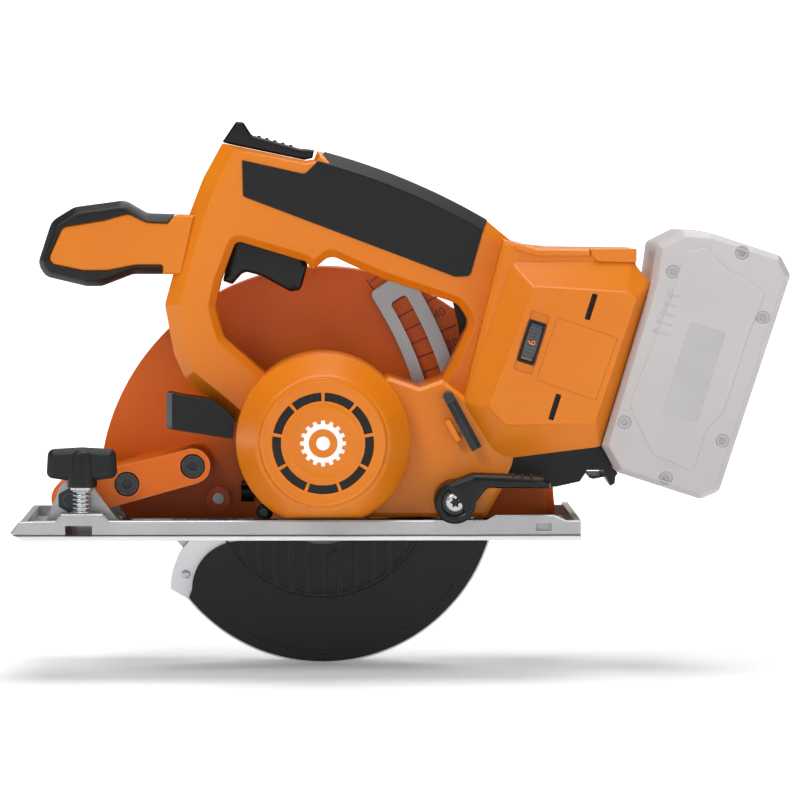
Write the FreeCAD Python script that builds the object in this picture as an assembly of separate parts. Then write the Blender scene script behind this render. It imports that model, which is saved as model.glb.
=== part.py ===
"""Cordless metal-cutting circular saw, blade on the right, modelled as an assembly.

Units are millimetres. +Z is up, -X is the front of the saw (the way it cuts) and +Y is the
blade side. The origin lies on the sole of the base plate, under the blade spindle and in the
parting plane of the handle. The saw stands at its full cutting depth with the lower guard shut.
"""
import FreeCAD, Part
import math
import os

V = FreeCAD.Vector

# ---- driving dimensions ------------------------------------------------------------------
BLADE_R = 75.0            # cutting radius of a 150 mm blade
CUT_DEPTH = 57.0          # how far the blade reaches below the sole at full depth
BLADE_T = 1.2             # blade plate
BLADE_BORE_R = 10.0
BLADE_TEETH = 36
BLADE_Y = 42.0            # plane of the blade
SPINDLE_Z = BLADE_R - CUT_DEPTH
GEAR_MODULE = 1.0
PINION_TEETH = 13
GEAR_TEETH = 43
MOTOR_Z = SPINDLE_Z + GEAR_MODULE * (PINION_TEETH + GEAR_TEETH) / 2
RUN = 0.05                # radial clearance of a running fit
GAP = 0.3                 # gap between pieces that move past each other

PLATE_X0, PLATE_X1 = -145.0, 119.6
PLATE_Y0, PLATE_Y1 = -50.0, 66.0
PLATE_T = 3.0
FLANGE_T = 3.0
FLANGE_H = 9.3
SLOT_X0, SLOT_X1 = -92.0, 100.0
SLOT_Y0, SLOT_Y1 = 29.5, 55.0
GEAR_WAY = (-28.0, 31.0, 7.2)         # opening for the gear housing: front, rear, near edge
FENCE_X0 = -119.5          # front side of the fence bar's way across the plate
FENCE_Z0, FENCE_Z1 = 1.2, 6.9
GROOVE = 0.7              # depth of the rail groove in the sole
PAD_TOP = 12.5            # clamp pad over the fence bar
PAD_BACK = -40.5
STUD_Y = -45.5
STUD_R = 2.5

PIVOT_X, PIVOT_Z = -118.0, SPINDLE_Z  # depth pivot
PIVOT_R = 3.0
CLEVIS_NEAR = (-38.0, -32.0)
CLEVIS_FAR = (18.0, 24.0)
ARM_Y0 = -28.4            # near face of the front arm, clear of the turning wing knob
ARM_SEAT = 6.2            # depth of its screws' seats
ARC_R = 179.2             # middle of the depth arc's slot, about the pivot
ARC_IN, ARC_OUT = 169.0, 190.4
ARC_SLOT = 9.2
ARC_Y = (21.5, 24.5)
LOBE_R = 201.0            # rear edge of the guard's scale plate, about the pivot
CLAMP_R = 4.0             # depth clamp bolt
CLAMP_X = PIVOT_X + ARC_R

WALL = 2.6                # moulded housing
HANDLE_W = 17.0           # half width of the handle
SKIRT_Y = (-35.0, 20.0)
MOULD_Z0 = 10.0           # lowest edge of the housing and the motor cap
SLEEVE_R = 40.5
SLEEVE_Y0 = -38.0
BOX_W = 34.0              # half width of the battery housing without its side pods
POD_W = 42.0
CAP_Y0 = -66.0
CAP_FACE_R = 29.0

GUARD_R = 107.0           # upper guard
FENCE_X1 = -GUARD_R       # rear side of the fence bar's way, clear of the guard's front rim
GUARD_WALL = 2.0
GUARD_Y0, GUARD_Y1 = 26.0, 57.0
COVER_T = 2.5
GUARD_FOOT_Z = 4.5
LOWER_R = 84.0            # lower guard
CHEEK_Y = (31.0, 33.5)
LOWER_Y1 = 53.5
LOWER_FROM, LOWER_TO = 219.0, 380.0
NOSE_X, NOSE_Z = -40.0, -30.0         # centre of the lower guard's round leading end
NOSE_R = 33.5
NOSE_IN = 23.0
HUB_R = 20.0              # bearing nose that the lower guard swings on

SHAFT_R = 3.0             # motor shaft
SPINDLE_R, SPINDLE_END_R = 7.5, 5.0
GEAR_Y = (9.0, 16.0)
GEARBOX_R = 33.0          # gear housing round the motor axis
GEARBOX_LOW_R = 24.4      # and round the spindle
GEARBOX_Z0 = -6.2
LOCK_Y = 19.0             # spindle lock pin
LOCK_R = 2.4
BALL_R, END_BALL_R, NOSE_BALL_R = 8.0, 9.5, 16.0   # outer radii of the ball bearings
SEAT = 0.02               # bearing seats

SLIDE_TILT = 17.4         # the battery slides in along a line this far off the vertical
RAIL_X, RAIL_Z = 129.4, 42.5          # foot of the battery seat
RAIL_LEN = 79.0
TONGUE_W, TONGUE_D, NECK_W, LIP = 26.0, 7.0, 21.0, 3.0


# ---- helpers ---------------------------------------------------------------------------
def around(x, z, radius, degrees):
    """Point on a circle in the XZ plane, counted from +X towards +Z."""
    a = math.radians(degrees)
    return (x + radius * math.cos(a), z + radius * math.sin(a))


def outline(corners, y=0.0):
    """Closed wire in the XZ plane. A corner is (x, z) or (x, z, radius); ("via", x, z) bends
    the edge between its neighbours into an arc through that point."""
    spots = [c for c in corners if c[0] != "via"]
    bends = {}
    count = -1
    for c in corners:
        if c[0] == "via":
            bends[count] = V(c[1], y, c[2])
        else:
            count += 1
    starts, ends, arcs = [], [], []
    for i, c in enumerate(spots):
        here = V(c[0], y, c[1])
        radius = c[2] if len(c) > 2 else 0.0
        if radius <= 0:
            starts.append(here)
            ends.append(here)
            arcs.append(None)
            continue
        back = V(*[spots[i - 1][0], y, spots[i - 1][1]]) - here
        on = V(*[spots[(i + 1) % len(spots)][0], y, spots[(i + 1) % len(spots)][1]]) - here
        back.normalize()
        on.normalize()
        half = back.getAngle(on) / 2
        reach = radius / math.tan(half)
        middle = back + on
        middle.normalize()
        centre = here + middle * (radius / math.sin(half))
        starts.append(here + back * reach)
        ends.append(here + on * reach)
        arcs.append(centre - middle * radius)
    edges = []
    for i in range(len(spots)):
        j = (i + 1) % len(spots)
        if arcs[i] is not None:
            edges.append(Part.Arc(starts[i], arcs[i], ends[i]).toShape())
        if i in bends:
            edges.append(Part.Arc(ends[i], bends[i], starts[j]).toShape())
        elif (starts[j] - ends[i]).Length > 1e-6:
            edges.append(Part.LineSegment(ends[i], starts[j]).toShape())
    return Part.Wire(edges)


def slab(wire, y0, y1):
    """Prism along Y over a wire that lies at y = 0."""
    face = Part.Face(wire)
    face.translate(V(0, y0, 0))
    return face.extrude(V(0, y1 - y0, 0))


def rod(x, z, radius, y0, y1):
    """Cylinder along Y."""
    return Part.makeCylinder(radius, y1 - y0, V(x, y0, z), V(0, 1, 0))


def ring(x, z, inner, outer, y0, y1):
    """Hollow cylinder along Y."""
    return rod(x, z, outer, y0, y1).cut(rod(x, z, inner, y0 - 1, y1 + 1))


def cone(x, z, r0, r1, y0, y1):
    """Cone along Y, r0 at y0."""
    return Part.makeCone(r0, r1, y1 - y0, V(x, y0, z), V(0, 1, 0))


def post(x, y, radius, z0, z1):
    """Cylinder along Z."""
    return Part.makeCylinder(radius, z1 - z0, V(x, y, z0))


def block(x0, x1, y0, y1, z0, z1):
    """Box between two corners."""
    return Part.makeBox(x1 - x0, y1 - y0, z1 - z0, V(x0, y0, z0))


def joined(first, *others):
    """One solid of several that touch."""
    return first.fuse(list(others)).removeSplitter()


def sector(x, z, inner, outer, a0, a1):
    """Wire of a ring's part between two angles, in the XZ plane."""
    mid = (a0 + a1) / 2
    return outline([around(x, z, inner, a0), around(x, z, outer, a0),
                    ("via", *around(x, z, outer, mid)), around(x, z, outer, a1),
                    around(x, z, inner, a1), ("via", *around(x, z, inner, mid))])


def stadium(x0, z0, r0, x1, z1, r1):
    """Wire round two circles and the lines that touch both."""
    run = math.hypot(x1 - x0, z1 - z0)
    heading = math.degrees(math.atan2(z1 - z0, x1 - x0))
    lean = math.degrees(math.acos((r0 - r1) / run))
    return outline([around(x0, z0, r0, heading + lean), ("via", *around(x0, z0, r0, heading + 180)),
                    around(x0, z0, r0, heading - lean), around(x1, z1, r1, heading - lean),
                    ("via", *around(x1, z1, r1, heading)), around(x1, z1, r1, heading + lean)])


def hexagon(x, z, across, y0, y1, turn=0.0):
    """Hexagonal prism along Y, by its width across flats."""
    corner = across / math.sqrt(3)
    return slab(outline([around(x, z, corner, turn + 60 * k) for k in range(6)]), y0, y1)


def at_level(shape, y):
    """Edges that lie in the plane Y = y."""
    return [e for e in shape.Edges
            if all(abs(p.y - y) < 1e-4 for p in e.discretize(5))]


def chamfered(shape, y, size):
    """The shape with its edges at Y = y chamfered."""
    return shape.makeChamfer(size, at_level(shape, y))


def mirrored(shape):
    """The shape on the other side of the parting plane."""
    return shape.mirror(V(0, 0, 0), V(0, 1, 0))


def half(shape, side):
    """The part of a shape on one side of the parting plane: -1 left, +1 right."""
    y0, y1 = (-100, 0) if side < 0 else (0, 100)
    return shape.common(block(-200, 300, y0, y1, -100, 300))


# ---- base ----------------------------------------------------------------------------------
def base_plate():
    """Die-cast sole with edge flanges, blade slot and clamp pad for the fence bar."""
    plate = block(PLATE_X0, PLATE_X1, PLATE_Y0, PLATE_Y1, 0, PLATE_T)
    near_flange = slab(outline([(PLATE_X0, 0), (PLATE_X1, 0), (PLATE_X1, 9.2), (112.7, 9.2),
                                (107.2, 11.7), (80.0, 11.7), (76.0, FLANGE_H), (-99.0, FLANGE_H),
                                (-102.2, PAD_TOP), (-121.3, PAD_TOP), (-124.0, FLANGE_H),
                                (-141.0, 8.8), (PLATE_X0, 3.7)]), PLATE_Y0, PLATE_Y0 + FLANGE_T)
    far_flange = block(PLATE_X0 + 4, PLATE_X1, PLATE_Y1 - FLANGE_T, PLATE_Y1, 0, 8)
    front_rib = block(PLATE_X0 + 4, PLATE_X0 + 7, PLATE_Y0, PLATE_Y1, 0, 8)
    rear_rib = block(PLATE_X1 - 3, PLATE_X1, PLATE_Y0, PLATE_Y1, 0, 9.2)
    pad = block(-121.3, -102.2, PLATE_Y0, PAD_BACK, 0, PAD_TOP)
    solid = joined(plate, near_flange, far_flange, front_rib, rear_rib, pad)
    toe = Part.makePolygon([V(PLATE_X0 - 1, 0, -1), V(PLATE_X0 - 1, 0, 4.3), V(-138.0, 0, 0 - 0.01),
                            V(-138.0, 0, -1), V(PLATE_X0 - 1, 0, -1)])
    fence_way = block(FENCE_X0, FENCE_X1, PLATE_Y0 - 1, PLATE_Y1 + 1, FENCE_Z0, FENCE_Z1)
    blade_slot = block(SLOT_X0, SLOT_X1, SLOT_Y0, SLOT_Y1, -1, PLATE_T + 1)
    gear_way = block(GEAR_WAY[0], GEAR_WAY[1], GEAR_WAY[2], SLOT_Y0 + 1, -1, PLATE_T + 1)
    rail_groove = block(PLATE_X0 - 1, PLATE_X1 + 1, -38, -22, -1, GROOVE)
    sight = block(PLATE_X0 - 1, PLATE_X0 + 9, BLADE_Y - 1.5, BLADE_Y + 1.5, -1, 9)
    lever_relief = rod(CLAMP_X, SPINDLE_Z, 10.4, PLATE_Y0 - 1, PLATE_Y0 + 9)
    pocket = block(98.8, 105.8, PLATE_Y0 - 1, PLATE_Y0 + 1.5, 4.6, 7.8)
    stud_hole = post(-111.8, STUD_Y, STUD_R + RUN, FENCE_Z1 - 1, PAD_TOP + 1)
    cuts = [slab(Part.Wire(toe.Edges), PLATE_Y0 - 1, PLATE_Y1 + 1), fence_way, blade_slot,
            gear_way, rail_groove, sight, lever_relief, pocket, stud_hole]
    cuts += [post(x, y, 1.6, -1, PLATE_T + 1) for x, y in BASE_SCREWS]
    return solid.cut(cuts)


BASE_SCREWS = [(-126.0, -10.0), (-126.0, 10.0), (-97.0, -10.0), (-97.0, 10.0),
               (54.0, 13.0), (70.0, 13.0)]
FOOT_T = 2.5


def front_bracket():
    """Cast clevis that carries the depth pivot, open below for the fence bar."""
    side = outline([(-131, PLATE_T), (-121.5, 26.5, 4), (-109, 26.5, 4), (-91.6, PLATE_T)])
    cheeks = [slab(side, *CLEVIS_NEAR), slab(side, *CLEVIS_FAR)]
    feet = [block(-131, -121, CLEVIS_NEAR[0], CLEVIS_FAR[1], PLATE_T, PLATE_T + FOOT_T),
            block(-102.5, -91.6, CLEVIS_NEAR[0], CLEVIS_FAR[1], PLATE_T, PLATE_T + FOOT_T)]
    solid = joined(*cheeks, *feet)
    cuts = [block(FENCE_X0 - 0.5, FENCE_X1 + 0.5, -60, 60, 0, FENCE_Z1 + 0.3),
            rod(PIVOT_X, PIVOT_Z, PIVOT_R + 0.02, -40, 30),
            hexagon(PIVOT_X, PIVOT_Z, 10.4, CLEVIS_NEAR[0] - 1, CLEVIS_NEAR[0] + 3.5, 30)]
    cuts += [post(x, y, 1.6, 0, 9) for x, y in BASE_SCREWS[:4]]
    return solid.cut(cuts)


def pivot_bolt():
    """Bolt that the saw body tilts on, with its nut sunk in the near clevis cheek."""
    head = rod(PIVOT_X, PIVOT_Z, 5.0, CLEVIS_FAR[1], CLEVIS_FAR[1] + 3.5)
    shank = rod(PIVOT_X, PIVOT_Z, PIVOT_R, CLEVIS_NEAR[0] + 0.6, CLEVIS_FAR[1])
    bolt = joined(head, shank).cut(hexagon(PIVOT_X, PIVOT_Z, 5.0, 25.5, 29))
    nut = hexagon(PIVOT_X, PIVOT_Z, 10.0, CLEVIS_NEAR[0] + 0.8, CLEVIS_NEAR[0] + 3.5, 30)
    return Part.makeCompound([bolt, nut.cut(rod(PIVOT_X, PIVOT_Z, PIVOT_R + 0.02, -40, -30))])


def depth_arc():
    """Slotted steel arc, on a foot screwed to the plate, that guides the depth clamp."""
    arc = slab(sector(PIVOT_X, PIVOT_Z, ARC_IN, ARC_OUT, -8, 34), *ARC_Y)
    arc = arc.cut(block(0, 100, 0, 60, -60, PLATE_T))
    foot = block(48, 76, 7, ARC_Y[1], PLATE_T, PLATE_T + FOOT_T)
    slot = slab(sector(PIVOT_X, PIVOT_Z, ARC_R - ARC_SLOT / 2, ARC_R + ARC_SLOT / 2, -2.4, 31),
                ARC_Y[0] - 1, ARC_Y[1] + 1)
    cuts = [slot] + [post(x, y, 1.6, 0, 9) for x, y in BASE_SCREWS[4:]]
    return joined(arc, foot).cut(cuts)


def base_screws():
    """Pan-head screws that hold the clevis and the arc's foot to the plate."""
    top = PLATE_T + FOOT_T
    return Part.makeCompound([joined(post(x, y, 1.55, 0.3, top), post(x, y, 3.0, top, top + 1.6))
                              for x, y in BASE_SCREWS])


# ---- fence clamp ---------------------------------------------------------------------------
STUD_X = -111.8
KNOB_Z0, KNOB_Z1 = 24.6, 43.1
WASHER_T = 1.2


def clamp_washer():
    """Washer under the wing knob; it lifts with the knob and doesn't turn."""
    return post(STUD_X, STUD_Y, 5.4, KNOB_Z0 - WASHER_T, KNOB_Z0 - 0.05).cut(
        post(STUD_X, STUD_Y, STUD_R + 0.1, KNOB_Z0 - 3, KNOB_Z0 + 1))


def clamp_stud():
    """Threaded stud of the wing knob."""
    return post(STUD_X, STUD_Y, STUD_R, FENCE_Z1 + 0.9, KNOB_Z0 + 8)


def clamp_knob():
    """Wing knob: a hub with a wide flat grip across it."""
    hub = Part.makeCone(7.4, 6.0, KNOB_Z1 - 3 - KNOB_Z0, V(STUD_X, STUD_Y, KNOB_Z0))
    wing = outline([(STUD_X - 16.2, KNOB_Z0 + 5.5, 3), (STUD_X - 15.4, KNOB_Z1 - 0.8, 3),
                    (STUD_X, KNOB_Z1), (STUD_X + 15.4, KNOB_Z1 - 0.8, 3),
                    (STUD_X + 16.2, KNOB_Z0 + 5.5, 3), (STUD_X + 7, KNOB_Z0 + 3.6, 2),
                    (STUD_X - 7, KNOB_Z0 + 3.6, 2)])
    wing = slab(wing, STUD_Y - 4, STUD_Y + 4)
    return joined(hub, wing).cut(post(STUD_X, STUD_Y, STUD_R + 0.01, KNOB_Z0 - 1, KNOB_Z0 + 8))


def clamp_spring():
    """Spring round the stud, drawn as its coils one over another."""
    z0, z1, turns = PAD_TOP + 0.6, KNOB_Z0 - WASHER_T - 0.6, 6
    pitch = (z1 - z0) / (turns - 1)
    return Part.makeCompound([Part.makeTorus(3.9, 0.5, V(STUD_X, STUD_Y, z0 + k * pitch))
                              for k in range(turns)])


# ---- housing -------------------------------------------------------------------------------
FRAME = [(-47.2, 184.1, 1.5), (-8.0, 175.9), (-4.2, 176.4), (-2.4, 180.4), (0.8, 179.6),
         ("via", 39.5, 166.4), (77.2, 147.6), (90.0, 137.0, 12), (118.0, 134.0), (112.0, 60.0), (62.0, 40.0), (0.0, 34.0),
         (-36.0, 49.6), (-52.1, 63.1, 5), (-65.0, 73.6, 6), (-70.0, 85.0), (-74.4, 108.0, 8),
         (-70.7, 121.5), (-63.0, 150.0), ("via", -56.3, 167.5)]
LOOP = [(-48.0, 119.0), (-50.6, 107.0, 5), (-46.6, 92.8, 6), (-28.8, 77.2), (-10.0, 60.0),
        (15.0, 60.0), (31.0, 74.3), (43.5, 69.8, 12), (53.0, 69.0, 8), (60.0, 80.5),
        (69.0, 100.0, 6), (63.5, 108.6, 9), (28.3, 120.4), (12.4, 127.3, 8), (3.5, 131.6, 6),
        (-4.5, 124.6, 1), (-8.4, 128.6), (-40.8, 138.4, 3)]
TRIGGER_WELL = [(-50.0, 117.0), (-47.6, 143.0), (-3.5, 139.0), (-3.0, 124.0), (-12.0, 110.0),
                (-40.0, 110.0)]
SKIRT = [(-8.0, 9.6), (76.0, 9.6, 3), (83.4, 22.5), (88.0, 33.5), (92.0, 50.0), (66.0, 66.0),
         (56.0, 74.0), (45.0, 70.2), (31.0, 75.0), (0.0, 60.0), (-8.0, 40.0)]
BOX = [(84.0, 139.4), (100.0, 135.0), (146.0, 134.4), (146.0, 127.2, 2), (152.8, 118.5),
       (129.4, 42.5), (83.0, 37.0, 4), (65.0, 62.8)]
POD_OUT = [(88.5, 128.8), (144.0, 129.1), (152.8, 118.5), (129.4, 42.5), (84.5, 36.9), (79.0, 40.2),
           (65.0, 62.8)]
POD_IN = [(98.2, 117.4), (142.0, 114.6), (145.6, 111.5), (126.3, 54.2), (90.0, 53.2), (84.6, 53.6),
          (77.0, 61.7)]
GRIP = [(-38.6, 177.1, 1), (-8.6, 170.4), (0.8, 179.6), ("via", 39.5, 166.4), (77.2, 147.6),
        (69.7, 121.0, 3), (62.0, 120.6, 3), (-38.2, 158.6, 2)]
GRIP_T = 1.8
IN_HANDLE = (-HANDLE_W + WALL, HANDLE_W - WALL)       # inner faces of the walls
IN_BOX = (-BOX_W + WALL, BOX_W - WALL)
BESIDE_GUARD = (-BOX_W + WALL, GUARD_Y0 - 0.3 - WALL)
IN_SKIRT = (SKIRT_Y[0] + WALL, SKIRT_Y[1] - WALL)
SCREWS = [(-60.5, 98.0, IN_HANDLE), (-55.5, 150.0, IN_HANDLE), (26.0, 146.0, IN_HANDLE),
          (74.0, 126.0, IN_HANDLE), (104.0, 124.0, IN_BOX), (98.0, 46.0, BESIDE_GUARD),
          (70.0, 22.0, IN_SKIRT)]
BOSS_R = 3.8
DIAL_X, DIAL_Z = 97.0, 91.5
DIAL_R, DIAL_W = 14.5, 6.0
DIAL_AXLE_R = 2.0
DIAL_Y = -29.6


def rail_point(u, v):
    """Point by the battery seat: u up the seat from its foot, v away from the saw."""
    t = math.radians(SLIDE_TILT)
    return (RAIL_X + u * math.sin(t) + v * math.cos(t), RAIL_Z + u * math.cos(t) - v * math.sin(t))


def rail_slab(u0, u1, v0, v1, half_w):
    """Block laid along the battery seat."""
    corners = [rail_point(u0, v0), rail_point(u1, v0), rail_point(u1, v1), rail_point(u0, v1)]
    return slab(outline(corners), -half_w, half_w)


def inward(wire, wall):
    """Wire moved in by a wall."""
    return Part.Face(wire).makeOffset2D(-wall, 2).OuterWire


def pod(side):
    """Bevelled side of the battery housing."""
    low = outline(POD_OUT, side * BOX_W)
    high = outline(POD_IN, side * POD_W)
    return Part.makeLoft([low, high], True, True)


def housing_outside():
    """The whole moulded housing before it is hollowed and parted."""
    frame = slab(outline(FRAME), -HANDLE_W, HANDLE_W)
    frame = frame.cut(slab(outline(LOOP), -HANDLE_W - 1, HANDLE_W + 1))
    skirt = slab(outline(SKIRT), *SKIRT_Y)
    sleeve = rod(0, MOTOR_Z, SLEEVE_R, SLEEVE_Y0, 6)
    box = slab(outline(BOX), -BOX_W, BOX_W)
    solid = joined(frame, skirt, sleeve, box, pod(-1), pod(1))
    return solid.cut(block(-60, 60, -60, 60, 0, MOULD_Z0))


def housing_inside():
    """The housing's hollows."""
    depth = HANDLE_W - WALL
    handle = slab(inward(outline(FRAME), WALL), -depth, depth)
    handle = handle.cut(slab(inward(outline(LOOP), -WALL), -depth - 1, depth + 1))
    skirt = slab(inward(outline(SKIRT), WALL), SKIRT_Y[0] + WALL, SKIRT_Y[1] - WALL)
    sleeve = rod(0, MOTOR_Z, SLEEVE_R - WALL, SLEEVE_Y0 - 1, 7)
    sleeve = sleeve.cut(block(-60, 60, -60, 60, 0, MOULD_Z0 + WALL))
    box = slab(inward(outline(BOX), WALL + 1), -BOX_W + WALL, BOX_W - WALL)
    pods = slab(inward(outline(POD_IN), WALL + 1), -POD_W + WALL, POD_W - WALL)
    keep = [rail_slab(-10, RAIL_LEN + 20, -TONGUE_D - 3.5, 5, 60), guard_room(WALL)]
    return [handle, skirt, sleeve, box.cut(keep), pods.cut(keep)]


def guard_room(extra):
    """Space of the guard and the depth arc beside the right half, grown by a wall."""
    arc = rod(PIVOT_X, PIVOT_Z, LOBE_R + 1.0 + extra, ARC_Y[0] - 0.9 - extra, 60)
    disc = rod(0, SPINDLE_Z, GUARD_R + 1.0 + extra, GUARD_Y0 - 0.3 - extra, 60)
    return joined(arc, disc)


def tongue_way(extra):
    """T-shaped space of the battery tongue, grown by a clearance."""
    deep = rail_slab(2 - extra, RAIL_LEN + 30, -TONGUE_D - extra, -TONGUE_D + LIP + extra,
                     TONGUE_W + extra)
    neck = rail_slab(2 - extra, RAIL_LEN + 30, -TONGUE_D, 6, NECK_W + extra)
    return joined(deep, neck)


def gear_outline(grow):
    """Outline of the gear housing, grown by a clearance."""
    return stadium(0, MOTOR_Z, GEARBOX_R + grow, 0, SPINDLE_Z, GEARBOX_LOW_R + grow)


def window_frame(half_long, half_wide, y0, y1):
    """Block round the speed dial's window, in line with the battery seat."""
    t = math.radians(SLIDE_TILT)
    long, wide = (math.sin(t), math.cos(t)), (math.cos(t), -math.sin(t))
    corners = [(DIAL_X + a * half_long * long[0] + b * half_wide * wide[0],
                DIAL_Z + a * half_long * long[1] + b * half_wide * wide[1])
               for a, b in [(1, 1), (1, -1), (-1, -1), (-1, 1)]]
    return slab(outline(corners), y0, y1)


def vent(x, z, length, width, y0, y1):
    """Slit parallel to the battery seat."""
    t = math.radians(SLIDE_TILT)
    ends = [(x + s * length / 2 * math.sin(t), z + s * length / 2 * math.cos(t)) for s in (-1, 1)]
    return slab(stadium(*ends[0], width / 2 - 0.01, *ends[1], width / 2), y0, y1)


VENTS = [(124.6, 108.0), (107.8, 61.4)]
KEY_X, KEY_Z = 58.5, 66.0
KEY_END_X, KEY_END_Z = 71.6, 41.8
KEY_AF = 5.0
KEY_Y = -39.0
KEY_DEEP = 15.0


def bosses(side):
    """Screw posts inside one half of the housing, and the seat of the trigger's pin."""
    made = []
    for x, z, walls in SCREWS:
        near, far = (walls[0] - 0.5, 0) if side < 0 else (0, walls[1] + 0.5)
        made.append(rod(x, z, BOSS_R, near, far))
    seat = rod(*TRIGGER_PIN, PIN_R + 2.2, 10.2, HANDLE_W - WALL + 0.5)
    return made + [seat if side > 0 else mirrored(seat)]


def housing_half(side):
    """One moulded half: the left carries the dial and the key clip, the right the screw heads."""
    shell = half(housing_outside().cut(housing_inside()), side)
    shell = joined(shell, *bosses(side))
    cuts = [slab(outline(TRIGGER_WELL), -10.0, 10.0), tongue_way(GAP),
            slab(gear_outline(0.2), 1.0 - GAP, 60), main_grip(side, 0.0),
            block(-36, -22, -4.5, 4.5, 170, 186),
            rod(CLAMP_X, SPINDLE_Z, CLAMP_R + RUN, -60, 60),
            slab(outline([(-38, 52), (-42, 43), (-60, 43), (-60, 66), (-46, 66)]), -28.3, -10.0)]
    cuts += [rod(x, z, 1.55, -12, walls[1]) for x, z, walls in SCREWS]
    cuts += [rod(*TRIGGER_PIN, PIN_R + RUN, -13, 13)]
    if side < 0:
        key = V(KEY_END_X - KEY_X, 0, KEY_END_Z - KEY_Z)
        dial_room = along_dial(DIAL_R + 0.8, 5.7).common(block(60, 130, -39.9, 0, 50, 130))
        cuts += [window_frame(10.4, 4.3, -60, -38), dial_room, rod(KEY_X, KEY_Z, 3.3, -60, 5),
                 terminal_space()]
        cuts += [vent(x, z, 12.6, 2.6, -60, -30) for x, z in VENTS]
        key.normalize()
        away = V(-key.z, 0, key.x)
        clip_at = V(KEY_X, 0, KEY_Z) + key * 15 - away * -5.2
        tab = [clip_at + key * a + away * b for a, b in [(-6, -1.2), (6, -1.2), (6, 1.2), (-6, 1.2)]]
        shell = joined(shell, slab(outline([(p.x, p.z) for p in tab]), -40.5, -34.0))
    else:
        cuts += [rod(x, z, 3.3, walls[1] - 2.0, 60) for x, z, walls in SCREWS]
        cuts += [guard_room(0), terminal_space(),
                 rod(KEY_X, KEY_Z, 3.3, -1, KEY_DEEP + 1)]
    return shell.cut(cuts)


def main_grip(side, play=0.0):
    """Soft overmould on one side of the handle, wrapped over its top."""
    face = slab(outline(GRIP), HANDLE_W - GRIP_T, HANDLE_W)
    top = [(0.8, 179.6), ("via", 39.5, 166.4), (77.2, 147.6), (76.4, 145.6), ("via", 39.0, 164.2),
           (0.4, 177.4)]
    grip = joined(face, slab(outline(top), 0, HANDLE_W))
    return grip if side > 0 else mirrored(grip)


def housing_screws():
    """Long screws that close the housing, their heads sunk in the right half."""
    return Part.makeCompound([joined(rod(x, z, 1.5, -11, walls[1] - 2.0),
                                     rod(x, z, 2.9, walls[1] - 2.0, walls[1] + 0.6))
                              for x, z, walls in SCREWS])


def motor_cap():
    """Conical end cap of the motor with a ring of nine air slots."""
    foot = rod(0, MOTOR_Z, SLEEVE_R, -46, SLEEVE_Y0)
    body = cone(0, MOTOR_Z, CAP_FACE_R + 2, SLEEVE_R, -62, -46)
    face = cone(0, MOTOR_Z, CAP_FACE_R - 1.5, CAP_FACE_R, CAP_Y0, -62)
    solid = joined(foot, body, face)
    inside = joined(rod(0, MOTOR_Z, SLEEVE_R - WALL, -46, -30),
                    cone(0, MOTOR_Z, CAP_FACE_R - 1, SLEEVE_R - WALL, -61, -46))
    inside = inside.cut(block(-60, 60, -60, 60, 0, MOULD_Z0 + WALL))
    solid = solid.cut(inside)
    seat = ring(0, MOTOR_Z, BALL_R + SEAT, 10.5, -61.5, -53)
    solid = joined(solid, seat)
    solid = solid.cut(block(-60, 60, -60, 60, 0, MOULD_Z0))
    slots = [slab(sector(0, MOTOR_Z, 19.4, 23.2, 92 + 40 * k, 128 + 40 * k), CAP_Y0 - 1, -60)
             for k in range(9)]
    return solid.cut(slots)


def vent_screen():
    """Black mesh ring behind the cap's air slots."""
    return ring(0, MOTOR_Z, 17.0, 26.0, -60.9, -59.4)


# ---- front handle, light, trigger, switch lock -----------------------------------------------
KNOB = [(-134.0, 127.5, 6), (-127.5, 147.5, 8), (-117.0, 154.0, 8), (-93.5, 157.2, 8),
        (-83.0, 151.0, 8), (-61.5, 150.2), (-71.0, 122.5), (-89.2, 122.5, 8), (-104.0, 116.8, 8),
        (-111.0, 116.8, 8), (-130.5, 121.4, 6)]
KNOB_CORE = [(-129.4, 128.2, 2), (-121.8, 144.4, 3), (-102.0, 147.8, 3), (-91.1, 150.9, 3),
             (-83.0, 146.6, 3), (-72.9, 146.2, 1), (-70.0, 150.5), (-55.0, 150.2),
             (-62.0, 122.5), (-75.0, 122.5), (-75.0, 127.2), (-88.0, 127.2), (-101.2, 124.6),
             (-112.5, 124.6)]
KNOB_W = 15.0


def front_handle():
    """Hard core of the auxiliary handle; its neck ends on the housing's front."""
    core = slab(outline(KNOB_CORE), -KNOB_W, KNOB_W)
    return core.cut(slab(outline(FRAME), -40, 40))


def front_handle_grip():
    """Soft band round the auxiliary handle."""
    band = slab(outline(KNOB), -KNOB_W, KNOB_W)
    band = band.cut([slab(outline(KNOB_CORE), -40, 40), slab(outline(FRAME), -40, 40),
                     block(-69.9, -50, -40, 40, 100, 160)])
    return max(band.Solids, key=lambda s: s.Volume)


LIGHT = [(-73.2, 51.2), (-73.2, 67.9, 1), (-65.6, 66.4), (-52.0, 64.2), (-44.0, 58.0),
         (-41.3, 54.0), (-42.4, 45.8), (-69.8, 50.2, 1)]


def work_light():
    """Black housing of the work light beside the front of the motor."""
    body = slab(outline(LIGHT), -28.0, -10.3)
    return body.cut([slab(outline(FRAME), -HANDLE_W, HANDLE_W), rod(0, MOTOR_Z, SLEEVE_R, -60, 20),
                     block(-74, -70, -26, -12, 53, 66)])


def work_light_lens():
    """Clear window of the work light."""
    return block(-73.0, -70.2, -25.9, -12.1, 53.1, 65.9)


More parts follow.
